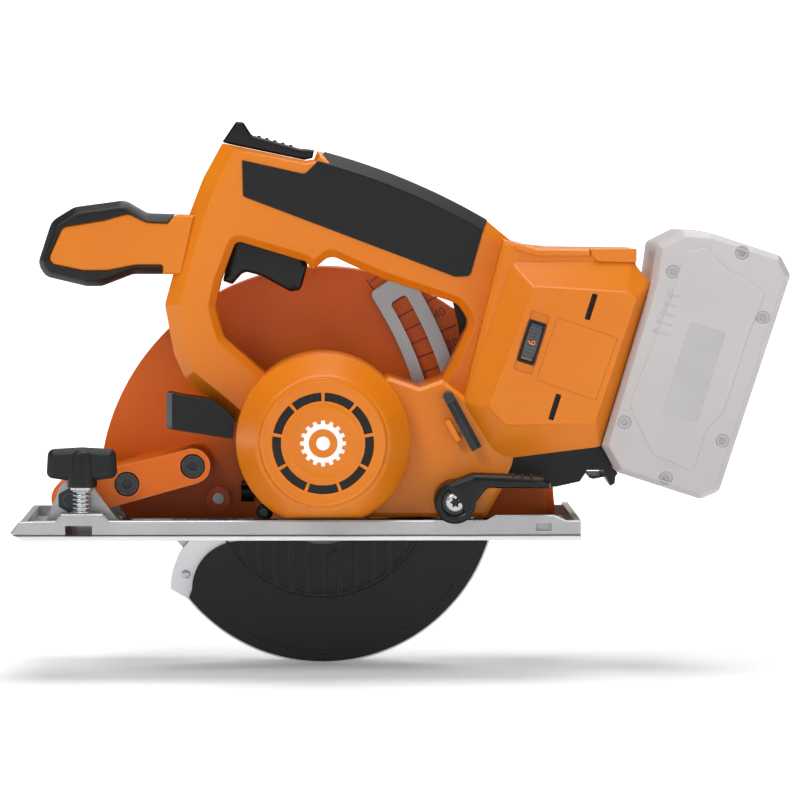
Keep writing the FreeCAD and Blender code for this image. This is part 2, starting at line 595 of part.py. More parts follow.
TRIGGER = [(-41.5, 142.5, 3), (-9.5, 135.0, 2), (-7.2, 126.2, 2), (-10.4, 114.8, 3),
           (-15.5, 114.2, 3), (-28.5, 121.4, 10), (-37.0, 123.8, 4), (-42.6, 117.6, 1),
           (-47.2, 119.2, 1), (-45.9, 124.6)]
TRIGGER_PIN = (-39.0, 136.0)
PIN_R = 2.0


def trigger():
    """Switch trigger on its pivot pin."""
    body = slab(outline(TRIGGER), -9.2, 9.2)
    return joined(body, rod(*TRIGGER_PIN, PIN_R, -12.5, 12.5))


SLIDER = [(-47.4, 184.5, 0.5), (-40.8, 194.2, 1), (-37.6, 194.2, 2), (-33.6, 188.0, 2),
          (-11.0, 181.6, 2), (-7.0, 181.3), (-4.0, 180.9), (-4.8, 177.4, 0.6), (-8.6, 176.5),
          (-42.0, 183.5)]


def lock_slider():
    """Sliding switch lock on top of the handle, with a stem through the housing."""
    body = slab(outline(SLIDER), -8.5, 8.5)
    stem = block(-30.0, -24.5, -3.5, 3.5, 171.5, 184.0)
    return joined(body, stem)


def switch_module():
    """Switch in the hollow handle."""
    t = outline([(-32, 146), (2, 140), (6, 154), (-28, 162)])
    body = slab(t, -9, 9)
    plunger = rod(-20, 143.0, 2.2, -3, 3)
    return joined(body, plunger.translated(V(0, 0, 1.5)))


# ---- speed dial ------------------------------------------------------------------------------
def along_dial(radius, half_w, extra=0.0):
    """Cylinder about the dial's own axis, which lies across the battery seat."""
    t = math.radians(SLIDE_TILT)
    axis = V(math.cos(t), 0, -math.sin(t))
    start = V(DIAL_X, DIAL_Y, DIAL_Z) - axis * (half_w + extra)
    return Part.makeCylinder(radius, 2 * (half_w + extra), start, axis)


def speed_dial():
    """Ribbed thumbwheel on a short axle."""
    return joined(along_dial(DIAL_R, DIAL_W / 2), along_dial(DIAL_AXLE_R, DIAL_W / 2, 1.6))


def dial_bezel():
    """Black frame of the dial's window with the two ears that carry the axle."""
    face = window_frame(10.3, 4.2, -POD_W + 0.2, -40.9).cut(window_frame(9.5, 3.25, -60, 0))
    webs = window_frame(5.0, 4.2, -41.0, -38.5)
    ears = window_frame(5.0, 5.3, -39.2, -27.0)
    return joined(face, joined(webs, ears).cut(window_frame(7.0, 3.25, -60, 0))).cut(
        along_dial(DIAL_AXLE_R + RUN, 10))


# ---- depth clamp -----------------------------------------------------------------------------
LEVER = [(CLAMP_X - 5.5, 26.2), (69.3, 31.4, 4), (86.4, 30.8, 4), (102.5, 29.8, 2),
         (105.5, 27.5, 2), (105.5, 24.2, 1), (76.0, 24.4, 3), (71.0, 18.0, 2), (66.0, 12.0)]
LEVER_Y = (-55.0, -44.5)


def depth_lever():
    """Lever that clamps the depth arc."""
    hub = rod(CLAMP_X, SPINDLE_Z, 9.7, LEVER_Y[0] + 1.5, SKIRT_Y[0] - GAP)
    arm = slab(outline(LEVER), *LEVER_Y)
    solid = joined(hub, arm)
    bore = rod(CLAMP_X, SPINDLE_Z, CLAMP_R + RUN, -50.2, -30)
    return solid.cut([bore, rod(CLAMP_X, SPINDLE_Z, 6.4, -60, -50.8)])


def lever_screw():
    """Bright washer-head screw in the lever's hub."""
    head = rod(CLAMP_X, SPINDLE_Z, 6.2, -51.9, -50.8)
    dome = rod(CLAMP_X, SPINDLE_Z, 4.6, -54.6, -51.9)
    return joined(head, dome).cut(hexagon(CLAMP_X, SPINDLE_Z, 3.4, -56, -53))


def clamp_bolt():
    """Bolt through the housing, the arc's slot and the guard, with a flat head."""
    shank = rod(CLAMP_X, SPINDLE_Z, CLAMP_R, -50.0, GUARD_Y0 + GUARD_WALL)
    head = rod(CLAMP_X, SPINDLE_Z, 8.0, GUARD_Y0 + GUARD_WALL, GUARD_Y0 + GUARD_WALL + 2)
    return joined(shank, head)


# ---- guards ------------------------------------------------------------------------------------
LOBE_TOP = (10.0, 124.4)
LOBE_CORNER = (63.5, 105.0)
COVER_SCREWS = [around(0, SPINDLE_Z, GUARD_R - 5.5, a) for a in (6, 48, 90, 132, 172)]
STOP = (-50.0, 14.7)
ARM_SCREWS = [(-91.7, 24.8), (-61.0, 33.1)]


def above_plate(shape):
    """What stands clear over the base plate."""
    return shape.common(block(-200, 200, 0, 100, GUARD_FOOT_Z, 200))


def upper_guard():
    """Fixed guard: near cheek with the depth scale's plate, and the rim."""
    cheek = rod(0, SPINDLE_Z, GUARD_R, GUARD_Y0, GUARD_Y0 + GUARD_WALL)
    low = -5.0
    foot = (PIVOT_X + math.sqrt(LOBE_R ** 2 - (low - PIVOT_Z) ** 2), low)
    lobe = outline([(0, 100), LOBE_TOP, LOBE_CORNER,
                    ("via", *around(PIVOT_X, PIVOT_Z, LOBE_R, 10)), foot, (0, low)])
    lobe = slab(lobe, GUARD_Y0, GUARD_Y0 + GUARD_WALL)
    rim = ring(0, SPINDLE_Z, GUARD_R - GUARD_WALL, GUARD_R, GUARD_Y0, GUARD_Y1)
    tail = slab(outline([(96.0, 18.0), (104.6, 4.5), (112.6, 4.5), (111.3, 20.0), (101.0, 48.0),
                         (98.0, 40.0)]), GUARD_Y1 - 8, GUARD_Y1)
    lugs = [rod(x, z, 4.4, GUARD_Y0, GUARD_Y1) for x, z in COVER_SCREWS]
    lugs = [lug.common(rod(0, SPINDLE_Z, GUARD_R, 0, 100)) for lug in lugs]
    solid = above_plate(joined(cheek, lobe, rim, tail, *lugs))
    cuts = [rod(0, SPINDLE_Z, HUB_R + 0.2, 0, 40), rod(CLAMP_X, SPINDLE_Z, CLAMP_R + RUN, 0, 40)]
    cuts += [rod(x, z, 1.55, GUARD_Y1 - 12, GUARD_Y1 + 1) for x, z in COVER_SCREWS]
    cuts += [rod(x, z, PIVOT_R + 0.05, 0, 40) for x, z in ARM_SCREWS]
    cuts += [rod(*STOP, 2.6, 0, 40)]
    return joined(solid, rod(*STOP, 5.5, 18.0, GUARD_Y0)).cut(cuts)


def guard_cover():
    """Far cheek of the upper guard, open round the blade bolt."""
    plate = rod(0, SPINDLE_Z, GUARD_R, GUARD_Y1, GUARD_Y1 + COVER_T)
    plate = above_plate(plate).cut(rod(0, SPINDLE_Z, 47.0, 0, 100))
    return plate.cut([rod(x, z, 1.55, 0, 100) for x, z in COVER_SCREWS])


def cover_screws():
    """Screws that close the upper guard."""
    top = GUARD_Y1 + COVER_T
    return Part.makeCompound([joined(rod(x, z, 1.5, GUARD_Y1 - 11, top), rod(x, z, 3.0, top, top + 2))
                              for x, z in COVER_SCREWS])


def front_arm():
    """Cast arm from the depth pivot to the upper guard."""
    shape = stadium(PIVOT_X, PIVOT_Z, 9.0, ARM_SCREWS[1][0], ARM_SCREWS[1][1], 8.2)
    arm = slab(shape, ARM_Y0, CLEVIS_FAR[0] - GAP)
    pivot_boss = rod(PIVOT_X, PIVOT_Z, 7.4, CLEVIS_NEAR[1] + GAP, ARM_Y0)
    back = slab(shape, CLEVIS_FAR[0] - GAP, GUARD_Y0).cut(block(-200, -89, 0, 60, -20, 60))
    cuts = [rod(PIVOT_X, PIVOT_Z, PIVOT_R + RUN, -60, 60)]
    for x, z in ARM_SCREWS:
        cuts += [rod(x, z, PIVOT_R + 0.05, -60, 60), rod(x, z, 5.9, -60, ARM_Y0 + ARM_SEAT)]
    return joined(arm, back, pivot_boss).cut(cuts)


def arm_screws():
    """Black socket screws of the front arm."""
    made = []
    for x, z in ARM_SCREWS:
        head = rod(x, z, 5.0, ARM_Y0 + 0.5, ARM_Y0 + ARM_SEAT)
        shank = rod(x, z, PIVOT_R, ARM_Y0 + ARM_SEAT, GUARD_Y0 + GUARD_WALL)
        made.append(joined(head, shank).cut(hexagon(x, z, 5.0, ARM_Y0 - 1, ARM_Y0 + 3.7)))
    return Part.makeCompound(made)


def stop_pin():
    """Steel pin that the guard spring hooks on."""
    return rod(*STOP, 2.55, 17.0, GUARD_Y0 + GUARD_WALL)


def on_blade(radius, degrees):
    """Point about the spindle."""
    return around(0, SPINDLE_Z, radius, degrees)


RIB_PITCH = 7.85


def cheek_outline(outer, nose):
    """Outline of a lower-guard cheek with its round leading end."""
    mid = (LOWER_FROM + LOWER_TO) / 2
    return outline([on_blade(outer, LOWER_FROM), ("via", *on_blade(outer, mid)),
                    on_blade(outer, LOWER_TO), on_blade(22, LOWER_TO), (0, 36), (-22, 12),
                    (NOSE_X, NOSE_Z + nose), ("via", *around(NOSE_X, NOSE_Z, nose, 140)),
                    around(NOSE_X, NOSE_Z, nose, 180)])


def guard_cheek():
    """Ribbed plastic cheek of the lower guard, with the hub it swings on."""
    y0, y1 = CHEEK_Y
    cheek = slab(cheek_outline(LOWER_R - 1, NOSE_IN), y0, y1)
    hub = rod(0, SPINDLE_Z, HUB_R + 5, y0 - 1.5, y1)
    recess = rod(0, SPINDLE_Z, 50.5, y0 - 5, y0 + 1.3)
    cheek = cheek.cut(recess)
    ribs = [block(0.3 + RIB_PITCH * k - 1, 0.3 + RIB_PITCH * k + 1, y0 + 0.2, y1 - 0.5, -60, 60)
            for k in range(-5, 7)]
    field = slab(cheek_outline(51.5, NOSE_IN), y0 - 2, y1 + 2)
    ribs = [rib.common(field) for rib in ribs]
    boss = rod(8.0, -17.8, 6.2, y0 + 0.2, y1)
    return joined(cheek, hub, boss, *ribs).cut(rod(0, SPINDLE_Z, HUB_R + RUN, 0, 60))


def lower_guard():
    """Bright swinging guard: two cheeks, the rim and the lip round its leading end."""
    y0, y1 = CHEEK_Y[1], LOWER_Y1
    rim = slab(sector(0, SPINDLE_Z, LOWER_R - 2, LOWER_R, LOWER_FROM, LOWER_TO), y0, y1)
    cheek = cheek_outline(LOWER_R, NOSE_R)
    near = slab(cheek, y0, y0 + 1.2)
    far = slab(cheek, y1 - 2, y1)
    hub = rod(0, SPINDLE_Z, 44.0, y1 - 2, y1)
    lip = slab(sector(NOSE_X, NOSE_Z, NOSE_R - 1.8, NOSE_R, 157, 180), y0, y1)
    toe = slab(outline([around(NOSE_X, NOSE_Z, NOSE_R, 180), on_blade(LOWER_R, LOWER_FROM),
                        on_blade(LOWER_R - 2, LOWER_FROM),
                        around(NOSE_X, NOSE_Z, NOSE_R - 1.8, 180)]), y0, y1)
    solid = joined(rim, near, far, hub, lip, toe)
    return solid.cut([rod(0, SPINDLE_Z, 30.0, 0, 60), rod(0, SPINDLE_Z, 48.0, 0, y0 + 1.3)])


def guard_lever():
    """Thumb lever that swings the lower guard back by hand."""
    foot = slab(sector(0, SPINDLE_Z, 33.0, 43.0, 2, 32), LOWER_Y1, LOWER_Y1 + 3)
    arm = slab(sector(0, SPINDLE_Z, 36.0, 42.0, 9, 25), LOWER_Y1 + 3, LOWER_Y1 + 16)
    x, z = on_blade(39.0, 17)
    knob = rod(x, z, 6.5, LOWER_Y1 + 14, LOWER_Y1 + 20)
    return joined(foot, arm, knob)


# ---- blade and drive -----------------------------------------------------------------------------
def blade():
    """Toothed blade."""
    corners = []
    step = 360.0 / BLADE_TEETH
    for k in range(BLADE_TEETH):
        a = k * step
        corners += [on_blade(BLADE_R, a), on_blade(BLADE_R - 1.6, a + 0.32 * step),
                    on_blade(BLADE_R - 5.5, a + 0.66 * step), on_blade(BLADE_R - 5.0, a + 0.9 * step)]
    plate = slab(outline(corners), BLADE_Y - BLADE_T / 2, BLADE_Y + BLADE_T / 2)
    return plate.cut(rod(0, SPINDLE_Z, BLADE_BORE_R, 0, 60))


def spindle():
    """Output spindle, threaded inside for the blade bolt and cross-bored for its lock."""
    solid = joined(rod(0, SPINDLE_Z, SPINDLE_END_R, 1.4, 7), rod(0, SPINDLE_Z, SPINDLE_R, 7, 38.0))
    lock = Part.makeCylinder(LOCK_R + 0.4, 20, V(-10, LOCK_Y, SPINDLE_Z), V(1, 0, 0))
    return solid.cut([rod(0, SPINDLE_Z, 4.0, 24.0, 40), lock])


def blade_flanges():
    """Inner flange with the blade's seat, and outer flange."""
    y0, y1 = BLADE_Y - BLADE_T / 2, BLADE_Y + BLADE_T / 2
    inner = joined(rod(0, SPINDLE_Z, 20, 38, y0), rod(0, SPINDLE_Z, BLADE_BORE_R - 0.03, y0, y1))
    inner = inner.cut(rod(0, SPINDLE_Z, 4.05, 30, 60))
    outer = ring(0, SPINDLE_Z, 4.05, 18, y1, y1 + 2.9)
    return Part.makeCompound([inner, outer])


def blade_bolt():
    """Hexagon bolt that clamps the blade."""
    top = BLADE_Y + BLADE_T / 2 + 2.9
    head = joined(hexagon(0, SPINDLE_Z, 13, top + 1.2, top + 6), rod(0, SPINDLE_Z, 9, top, top + 1.2))
    return joined(head, rod(0, SPINDLE_Z, 3.98, 25.0, top))


def gear_wire(x, z, teeth, tip_r, root_r, middle):
    """Wire of an involute gear whose tooth stands at the angle middle, with backlash."""
    pitch_r = GEAR_MODULE * teeth / 2
    base_r = pitch_r * math.cos(math.radians(20))

    def spread(radius):
        if radius <= base_r:
            return 0.0
        lean = math.acos(base_r / radius)
        return math.tan(lean) - lean

    thick = math.pi / (2 * teeth) - 0.11 / pitch_r
    corners = []
    radii = [max(base_r, root_r) + (tip_r - max(base_r, root_r)) * k / 3 for k in range(4)]
    for k in range(teeth):
        tooth = math.radians(middle) + 2 * math.pi * k / teeth
        up = [(r, tooth - thick - spread(pitch_r) + spread(r)) for r in radii]
        down = [(r, tooth + thick + spread(pitch_r) - spread(r)) for r in reversed(radii)]
        if root_r < base_r:
            up.insert(0, (root_r, up[0][1]))
            down.append((root_r, down[-1][1]))
        corners += [around(x, z, r, math.degrees(a)) for r, a in up + down]
    return outline(corners)


def drive_gear():
    """Large gear pressed on the spindle."""
    r = GEAR_MODULE * GEAR_TEETH / 2
    gap_up = 90 + 180.0 / GEAR_TEETH
    wire = gear_wire(0, SPINDLE_Z, GEAR_TEETH, r + 0.7, r - 1.25, gap_up)
    return slab(wire, *GEAR_Y).cut(rod(0, SPINDLE_Z, SPINDLE_R, 0, 60))


def motor_shaft():
    """Motor shaft with its pinion cut on the end."""
    r = GEAR_MODULE * PINION_TEETH / 2
    pinion = slab(gear_wire(0, MOTOR_Z, PINION_TEETH, r + 0.85, r - 1.25, 270),
                  GEAR_Y[0] - 0.5, GEAR_Y[1] + 0.5)
    return joined(rod(0, MOTOR_Z, SHAFT_R, -60.0, GEAR_Y[0] - 0.5), pinion)


def rotor():
    """Magnet rotor."""
    return ring(0, MOTOR_Z, SHAFT_R, 13.4, -42, -16)


def stator():
    """Wound stator: lamination ring with six teeth and their coils."""
    solid = ring(0, MOTOR_Z, 25.0, 31.0, -44, -14)
    for k in range(6):
        tooth = block(13.9, 26, -42, -16, -5, 5)
        tooth.rotate(V(0, 0, 0), V(0, 1, 0), 60 * k + 30)
        tooth.translate(V(0, 0, MOTOR_Z))
        solid = solid.fuse(tooth)
    carriers = ring(0, MOTOR_Z, 30.0, SLEEVE_R - WALL - 0.1, -34, -22)
    carriers = carriers.cut(block(-60, 60, -60, 60, 0, MOULD_Z0 + WALL + 0.1))
    return solid.fuse(carriers).removeSplitter()


def fan():
    """Cooling fan on the motor shaft."""
    solid = ring(0, MOTOR_Z, SHAFT_R, 30.0, -5.0, -3.5).fuse(ring(0, MOTOR_Z, SHAFT_R, 8.0, -11, -5))
    for k in range(11):
        blade_k = block(10, 29.5, -11, -5, -0.7, 0.7)
        blade_k.rotate(V(0, 0, 0), V(0, 1, 0), 360.0 * k / 11)
        blade_k.translate(V(0, 0, MOTOR_Z))
        solid = solid.fuse(blade_k)
    return solid.removeSplitter()


def bearings():
    """Ball bearings of the motor shaft and the spindle, as closed rings."""
    return Part.makeCompound([ring(0, MOTOR_Z, SHAFT_R + RUN, BALL_R, -59.5, -54.5),
                              ring(0, MOTOR_Z, SHAFT_R + RUN, BALL_R, 1.4, 5.8),
                              ring(0, SPINDLE_Z, SPINDLE_END_R + RUN, END_BALL_R, 1.4, 5.8),
                              ring(0, SPINDLE_Z, SPINDLE_R + RUN, NOSE_BALL_R, 22.0, 29.0)])


def low_gearbox():
    """What of the gear housing's outline may reach down into the plate's opening."""
    return joined(block(-60, 60, -10, 60, PLATE_T + 0.6, 100),
                  block(-60, 60, GEAR_WAY[2] + 0.5, 60, GEARBOX_Z0, 100))


def bearing_plate():
    """Plate between motor and gears, seating two bearings."""
    plate = slab(gear_outline(0), 1.0, 6.0).common(low_gearbox())
    cuts = [rod(0, MOTOR_Z, BALL_R + SEAT, 1.4, 7), rod(0, MOTOR_Z, SHAFT_R + 1, 0, 7),
            rod(0, SPINDLE_Z, END_BALL_R + SEAT, 1.4, 7)]
    return plate.cut(cuts)


def gear_housing():
    """Cast gear housing whose nose carries the spindle bearing and the lower guard."""
    body = slab(gear_outline(0), 6.0, GUARD_Y0).common(low_gearbox())
    nose = rod(0, SPINDLE_Z, HUB_R, GUARD_Y0, 34.0)
    pinion_r = GEAR_MODULE * PINION_TEETH / 2
    gear_r = GEAR_MODULE * GEAR_TEETH / 2
    room = [rod(0, MOTOR_Z, pinion_r + 3, 5, 18.0), rod(0, SPINDLE_Z, gear_r + 1.4, 8.2, 21.6),
            rod(0, SPINDLE_Z, END_BALL_R + 1, 5, 10)]
    seat = [rod(0, SPINDLE_Z, NOSE_BALL_R + SEAT, 21, 29.0), rod(0, SPINDLE_Z, 12.0, 18, 40)]
    lock = Part.makeCylinder(LOCK_R + RUN, 40, V(-50, LOCK_Y, SPINDLE_Z), V(1, 0, 0))
    return joined(body, nose).cut(room + seat + [lock])


LOCK_X = -34.0
LOCK_TRAVEL = 5.0


def spindle_lock():
    """Push button whose pin enters the spindle's cross bore."""
    along = V(1, 0, 0)
    button = Part.makeCylinder(5.0, 6, V(LOCK_X - LOCK_TRAVEL, LOCK_Y, SPINDLE_Z), along)
    pin = Part.makeCylinder(LOCK_R, LOCK_TRAVEL - 8.3 - LOCK_X, V(LOCK_X - LOCK_TRAVEL, LOCK_Y, SPINDLE_Z), along)
    return joined(button, pin)


# ---- rear: electronics and battery ---------------------------------------------------------------
FOOT = [(88.0, 22.1), (109.7, 22.7), (120.7, 25.1), (123.4, 29.0), (125.2, 26.9), (127.0, 26.3),
        (133.0, 27.5), (135.1, 23.0), (137.2, 24.2), (137.5, 27.5), (138.6, 28.9), (131.0, 43.0),
        (129.8, 42.2), (110.0, 39.6), (88.0, 37.2)]


def battery_foot():
    """Black moulding under the battery housing that stops the battery."""
    body = slab(outline(FOOT), -19.0, 19.0)
    gap = block(124.0, 132.0, -30, 30, 27.6, 30.5)
    case = Part.Face(outline(CASE)).makeOffset2D(0.4, 2).OuterWire
    return body.cut([slab(outline(BOX), -60, 60), slab(outline(SKIRT), -60, 60), gap,
                     slab(case, -60, 60)])


def terminal_space():
    """Room for the terminal block behind the battery seat."""
    return rail_slab(4.0, 26.0, -TONGUE_D - 6.2, -TONGUE_D + 1, 15.2)


def terminal_block():
    """Carrier of the three contact blades."""
    base = rail_slab(4.2, 25.8, -TONGUE_D - 6.0, -TONGUE_D - 0.5, 15.0)
    blades = []
    for y in (-11.0, 0.0, 11.0):
        blade_y = rail_slab(6, 18, -TONGUE_D - 0.6, -2.0, 0.4)
        blades.append(blade_y.translated(V(0, y, 0)))
    return joined(base, *blades)


def control_board():
    """Motor controller in the battery housing."""
    return rail_slab(14, 62, -22.0, -19.5, 27.0)


CASE = [(152.8, 119.0), (155.2, 137.0, 3), (168.0, 143.4, 5), (180.5, 142.4, 4),
        (213.3, 131.6, 3), (217.9, 122.5, 3), (184.9, 21.6, 4), (176.0, 18.0, 3),
        (137.2, 30.6, 3), (130.0, 43.2)]
CASE_W = 41.5
CASE_SEAM = 31.0          # how far the two case halves meet from the seat
CASE_SCREWS = [(162.7, 124.3), (194.7, 133.0), (204.6, 103.0), (140.2, 54.2), (186.0, 45.6),
               (159.6, 28.2)]


def case_solid():
    """Battery case before it is parted, bevelled at its sides."""
    body = slab(outline(CASE), -CASE_W, CASE_W)
    keep = rail_slab(-60, 160, GAP, 90, 60)
    return chamfered(chamfered(body, -CASE_W, 2.5), CASE_W, 2.5).common(keep)


def battery_case():
    """Outer half of the battery case."""
    body = case_solid().common(rail_slab(-60, 160, CASE_SEAM, 90, 60))
    return body.cut([case_room()] + case_screw_space(2.85, -0.2, 2.7))


def case_room():
    """Cell space of the case."""
    return rail_slab(-6.0, 88.2, 5.5, 48.5, CASE_W - 5.0)


def battery_base():
    """Saw-side half of the battery case with its T-shaped tongue."""
    body = case_solid().common(rail_slab(-60, 160, GAP, CASE_SEAM, 60)).cut(case_room())
    deep = rail_slab(2, RAIL_LEN - 3, -TONGUE_D, -TONGUE_D + LIP, TONGUE_W)
    neck = rail_slab(2, RAIL_LEN - 3, -TONGUE_D, 1.0, NECK_W)
    cuts = []
    for y in (-11.0, 0.0, 11.0):
        cuts.append(rail_slab(0, 22, -TONGUE_D - 1, -1.2, 1.0).translated(V(0, y, 0)))
    latch = latch_room()
    return joined(body, deep, neck).cut(cuts + [latch] + case_screw_space(2.85, -0.2, 2.7))


CELL_R = 9.1


def battery_cells():
    """Ten round cells lying across the case in two rows of five."""
    made = []
    for row in (0, 1):
        for k in range(5):
            x, z = rail_point(3.8 + 18.6 * k, 16.8 + 20.6 * row)
            made.append(rod(x, z, CELL_R, -32.5, 32.5))
    return Part.makeCompound(made)


def latch_room():
    """Pocket of the release button at the top of the case."""
    return rail_slab(91.0, 120, 4.0, 22.0, 16.3)


def battery_latch():
    """Release button at the top of the battery."""
    button = rail_slab(94.0, 104.0, 4.4, 21.6, 15.9)
    return button


def case_screw_space(radius, sunk, length):
    """Space of the screws on both sides of the case."""
    made = []
    for x, z in CASE_SCREWS:
        near = rod(x, z, radius, -CASE_W + sunk, -CASE_W + sunk + length)
        made += [near, mirrored(near)]
    return made


def battery_screws():
    """Screws sunk in both sides of the battery case."""
    return Part.makeCompound(case_screw_space(2.8, 0.8, 1.6))


# ---- hex key ---------------------------------------------------------------------------------------
def hex_key():
    """Blade wrench, its long arm through the housing and its short arm along the side."""
    long_arm = hexagon(KEY_X, KEY_Z, KEY_AF, KEY_Y - KEY_AF / 2, KEY_DEEP, 0)
    run = V(KEY_END_X - KEY_X, 0, KEY_END_Z - KEY_Z)
    short = hexagon(0, 0, KEY_AF, 0, run.Length, 0)
    turn = FreeCAD.Rotation(V(0, 1, 0), run)
    short.Placement = FreeCAD.Placement(V(KEY_X, KEY_Y, KEY_Z), turn)
    return joined(long_arm, short)


PARTS = {
    "base_plate": base_plate, "front_bracket": front_bracket, "pivot_bolt": pivot_bolt,
    "depth_arc": depth_arc, "base_screws": base_screws,
    "clamp_spring": clamp_spring, "clamp_washer": clamp_washer, "clamp_knob": clamp_knob,
    "clamp_stud": clamp_stud,
    "housing_left": lambda: housing_half(-1), "housing_right": lambda: housing_half(1),
    "main_grip_left": lambda: main_grip(-1), "main_grip_right": lambda: main_grip(1),
    "housing_screws": housing_screws, "motor_cap": motor_cap, 
    "vent_screen": vent_screen, "front_handle": front_handle,
    "front_handle_grip": front_handle_grip, "work_light": work_light,
    "work_light_lens": work_light_lens, "trigger": trigger, "lock_slider": lock_slider,
    "switch_module": switch_module, "speed_dial": speed_dial, "dial_bezel": dial_bezel,
    "depth_lever": depth_lever, "lever_screw": lever_screw, "clamp_bolt": clamp_bolt,
    "upper_guard": upper_guard, "guard_cover": guard_cover, "cover_screws": cover_screws,
    "front_arm": front_arm, "arm_screws": arm_screws,
    "stop_pin": stop_pin, "guard_cheek": guard_cheek,
    "lower_guard": lower_guard, "guard_lever": guard_lever,
    "blade": blade, "spindle": spindle, "blade_flanges": blade_flanges, "blade_bolt": blade_bolt,
    "drive_gear": drive_gear, "motor_shaft": motor_shaft, "rotor": rotor, "stator": stator,
    "fan": fan, "bearings": bearings, "bearing_plate": bearing_plate,
    "gear_housing": gear_housing, "spindle_lock": spindle_lock, "battery_foot": battery_foot,
    "terminal_block": terminal_block, "control_board": control_board,
    "battery_case": battery_case, "battery_base": battery_base, "battery_cells": battery_cells,
    "battery_latch": battery_latch, "battery_screws": battery_screws, "hex_key": hex_key,
}


def main():
    """Builds every node and writes its STEP file."""
    os.makedirs("parts", exist_ok=True)
    for name, make in PARTS.items():
        shape = make()
        if not shape.isValid() or not shape.Solids:
            print("CHECK", name, "valid", shape.isValid(), "solids", len(shape.Solids))
        shape.exportStep("parts/%s.step" % name)


main()
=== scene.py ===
"""Cordless metal-cutting circular saw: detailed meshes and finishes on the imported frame."""

import logging
import math
from dataclasses import dataclass, field
from enum import Enum
from typing import Iterable, Optional, Sequence

import bmesh
import bpy
from mathutils import Matrix, Vector
from mathutils.geometry import delaunay_2d_cdt


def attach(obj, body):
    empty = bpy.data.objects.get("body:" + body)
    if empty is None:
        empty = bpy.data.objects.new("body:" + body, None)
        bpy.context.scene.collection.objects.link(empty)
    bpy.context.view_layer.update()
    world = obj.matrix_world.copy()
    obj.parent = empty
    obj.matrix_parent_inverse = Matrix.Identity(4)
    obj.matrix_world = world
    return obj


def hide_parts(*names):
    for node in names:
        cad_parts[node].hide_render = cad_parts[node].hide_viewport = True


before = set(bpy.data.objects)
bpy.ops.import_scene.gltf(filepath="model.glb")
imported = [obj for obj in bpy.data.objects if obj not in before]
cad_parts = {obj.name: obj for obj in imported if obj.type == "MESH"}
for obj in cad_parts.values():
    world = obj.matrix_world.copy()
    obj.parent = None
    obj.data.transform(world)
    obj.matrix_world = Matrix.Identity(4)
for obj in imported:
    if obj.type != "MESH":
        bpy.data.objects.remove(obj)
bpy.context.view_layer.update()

LOG = logging.getLogger("saw")
MM = 0.001
Point = tuple[float, ...]
Loop = list[tuple[float, float]]
Profile = Sequence[tuple[float, float]]


# ---------------------------------------------------------------------------------- finishes
def linear(hex_colour: str) -> tuple[float, float, float, float]:
    """Turns an sRGB hex colour into linear RGBA.

    Args:
        hex_colour: six hex digits, such as "E8843A".

    Returns:
        Four linear values.
    """
    parts = [int(hex_colour[i:i + 2], 16) / 255 for i in (0, 2, 4)]
    low = [c / 12.92 if c <= 0.04045 else ((c + 0.055) / 1.055) ** 2.4 for c in parts]
    return low[0], low[1], low[2], 1.0


def add(tree: bpy.types.NodeTree, kind: str, links: Optional[dict] = None, **settings) -> bpy.types.Node:
    """Adds a node, sets its inputs or properties and links its inputs.

    Args:
        tree: the node tree.
        kind: the node's type name.
        links: input name or number to an output socket.
        settings: input names (spaces as underscores) or properties.

    Returns:
        The new node.
    """
    node = tree.nodes.new(kind)
    for key, value in settings.items():
        socket = key.replace("_", " ")
        if socket in node.inputs:
            node.inputs[socket].default_value = value
        elif key.startswith("in") and key[2:].isdigit():
            node.inputs[int(key[2:])].default_value = value
        else:
            setattr(node, key, value)
    for key, output in (links or {}).items():
        tree.links.new(output, node.inputs[key])
    return node


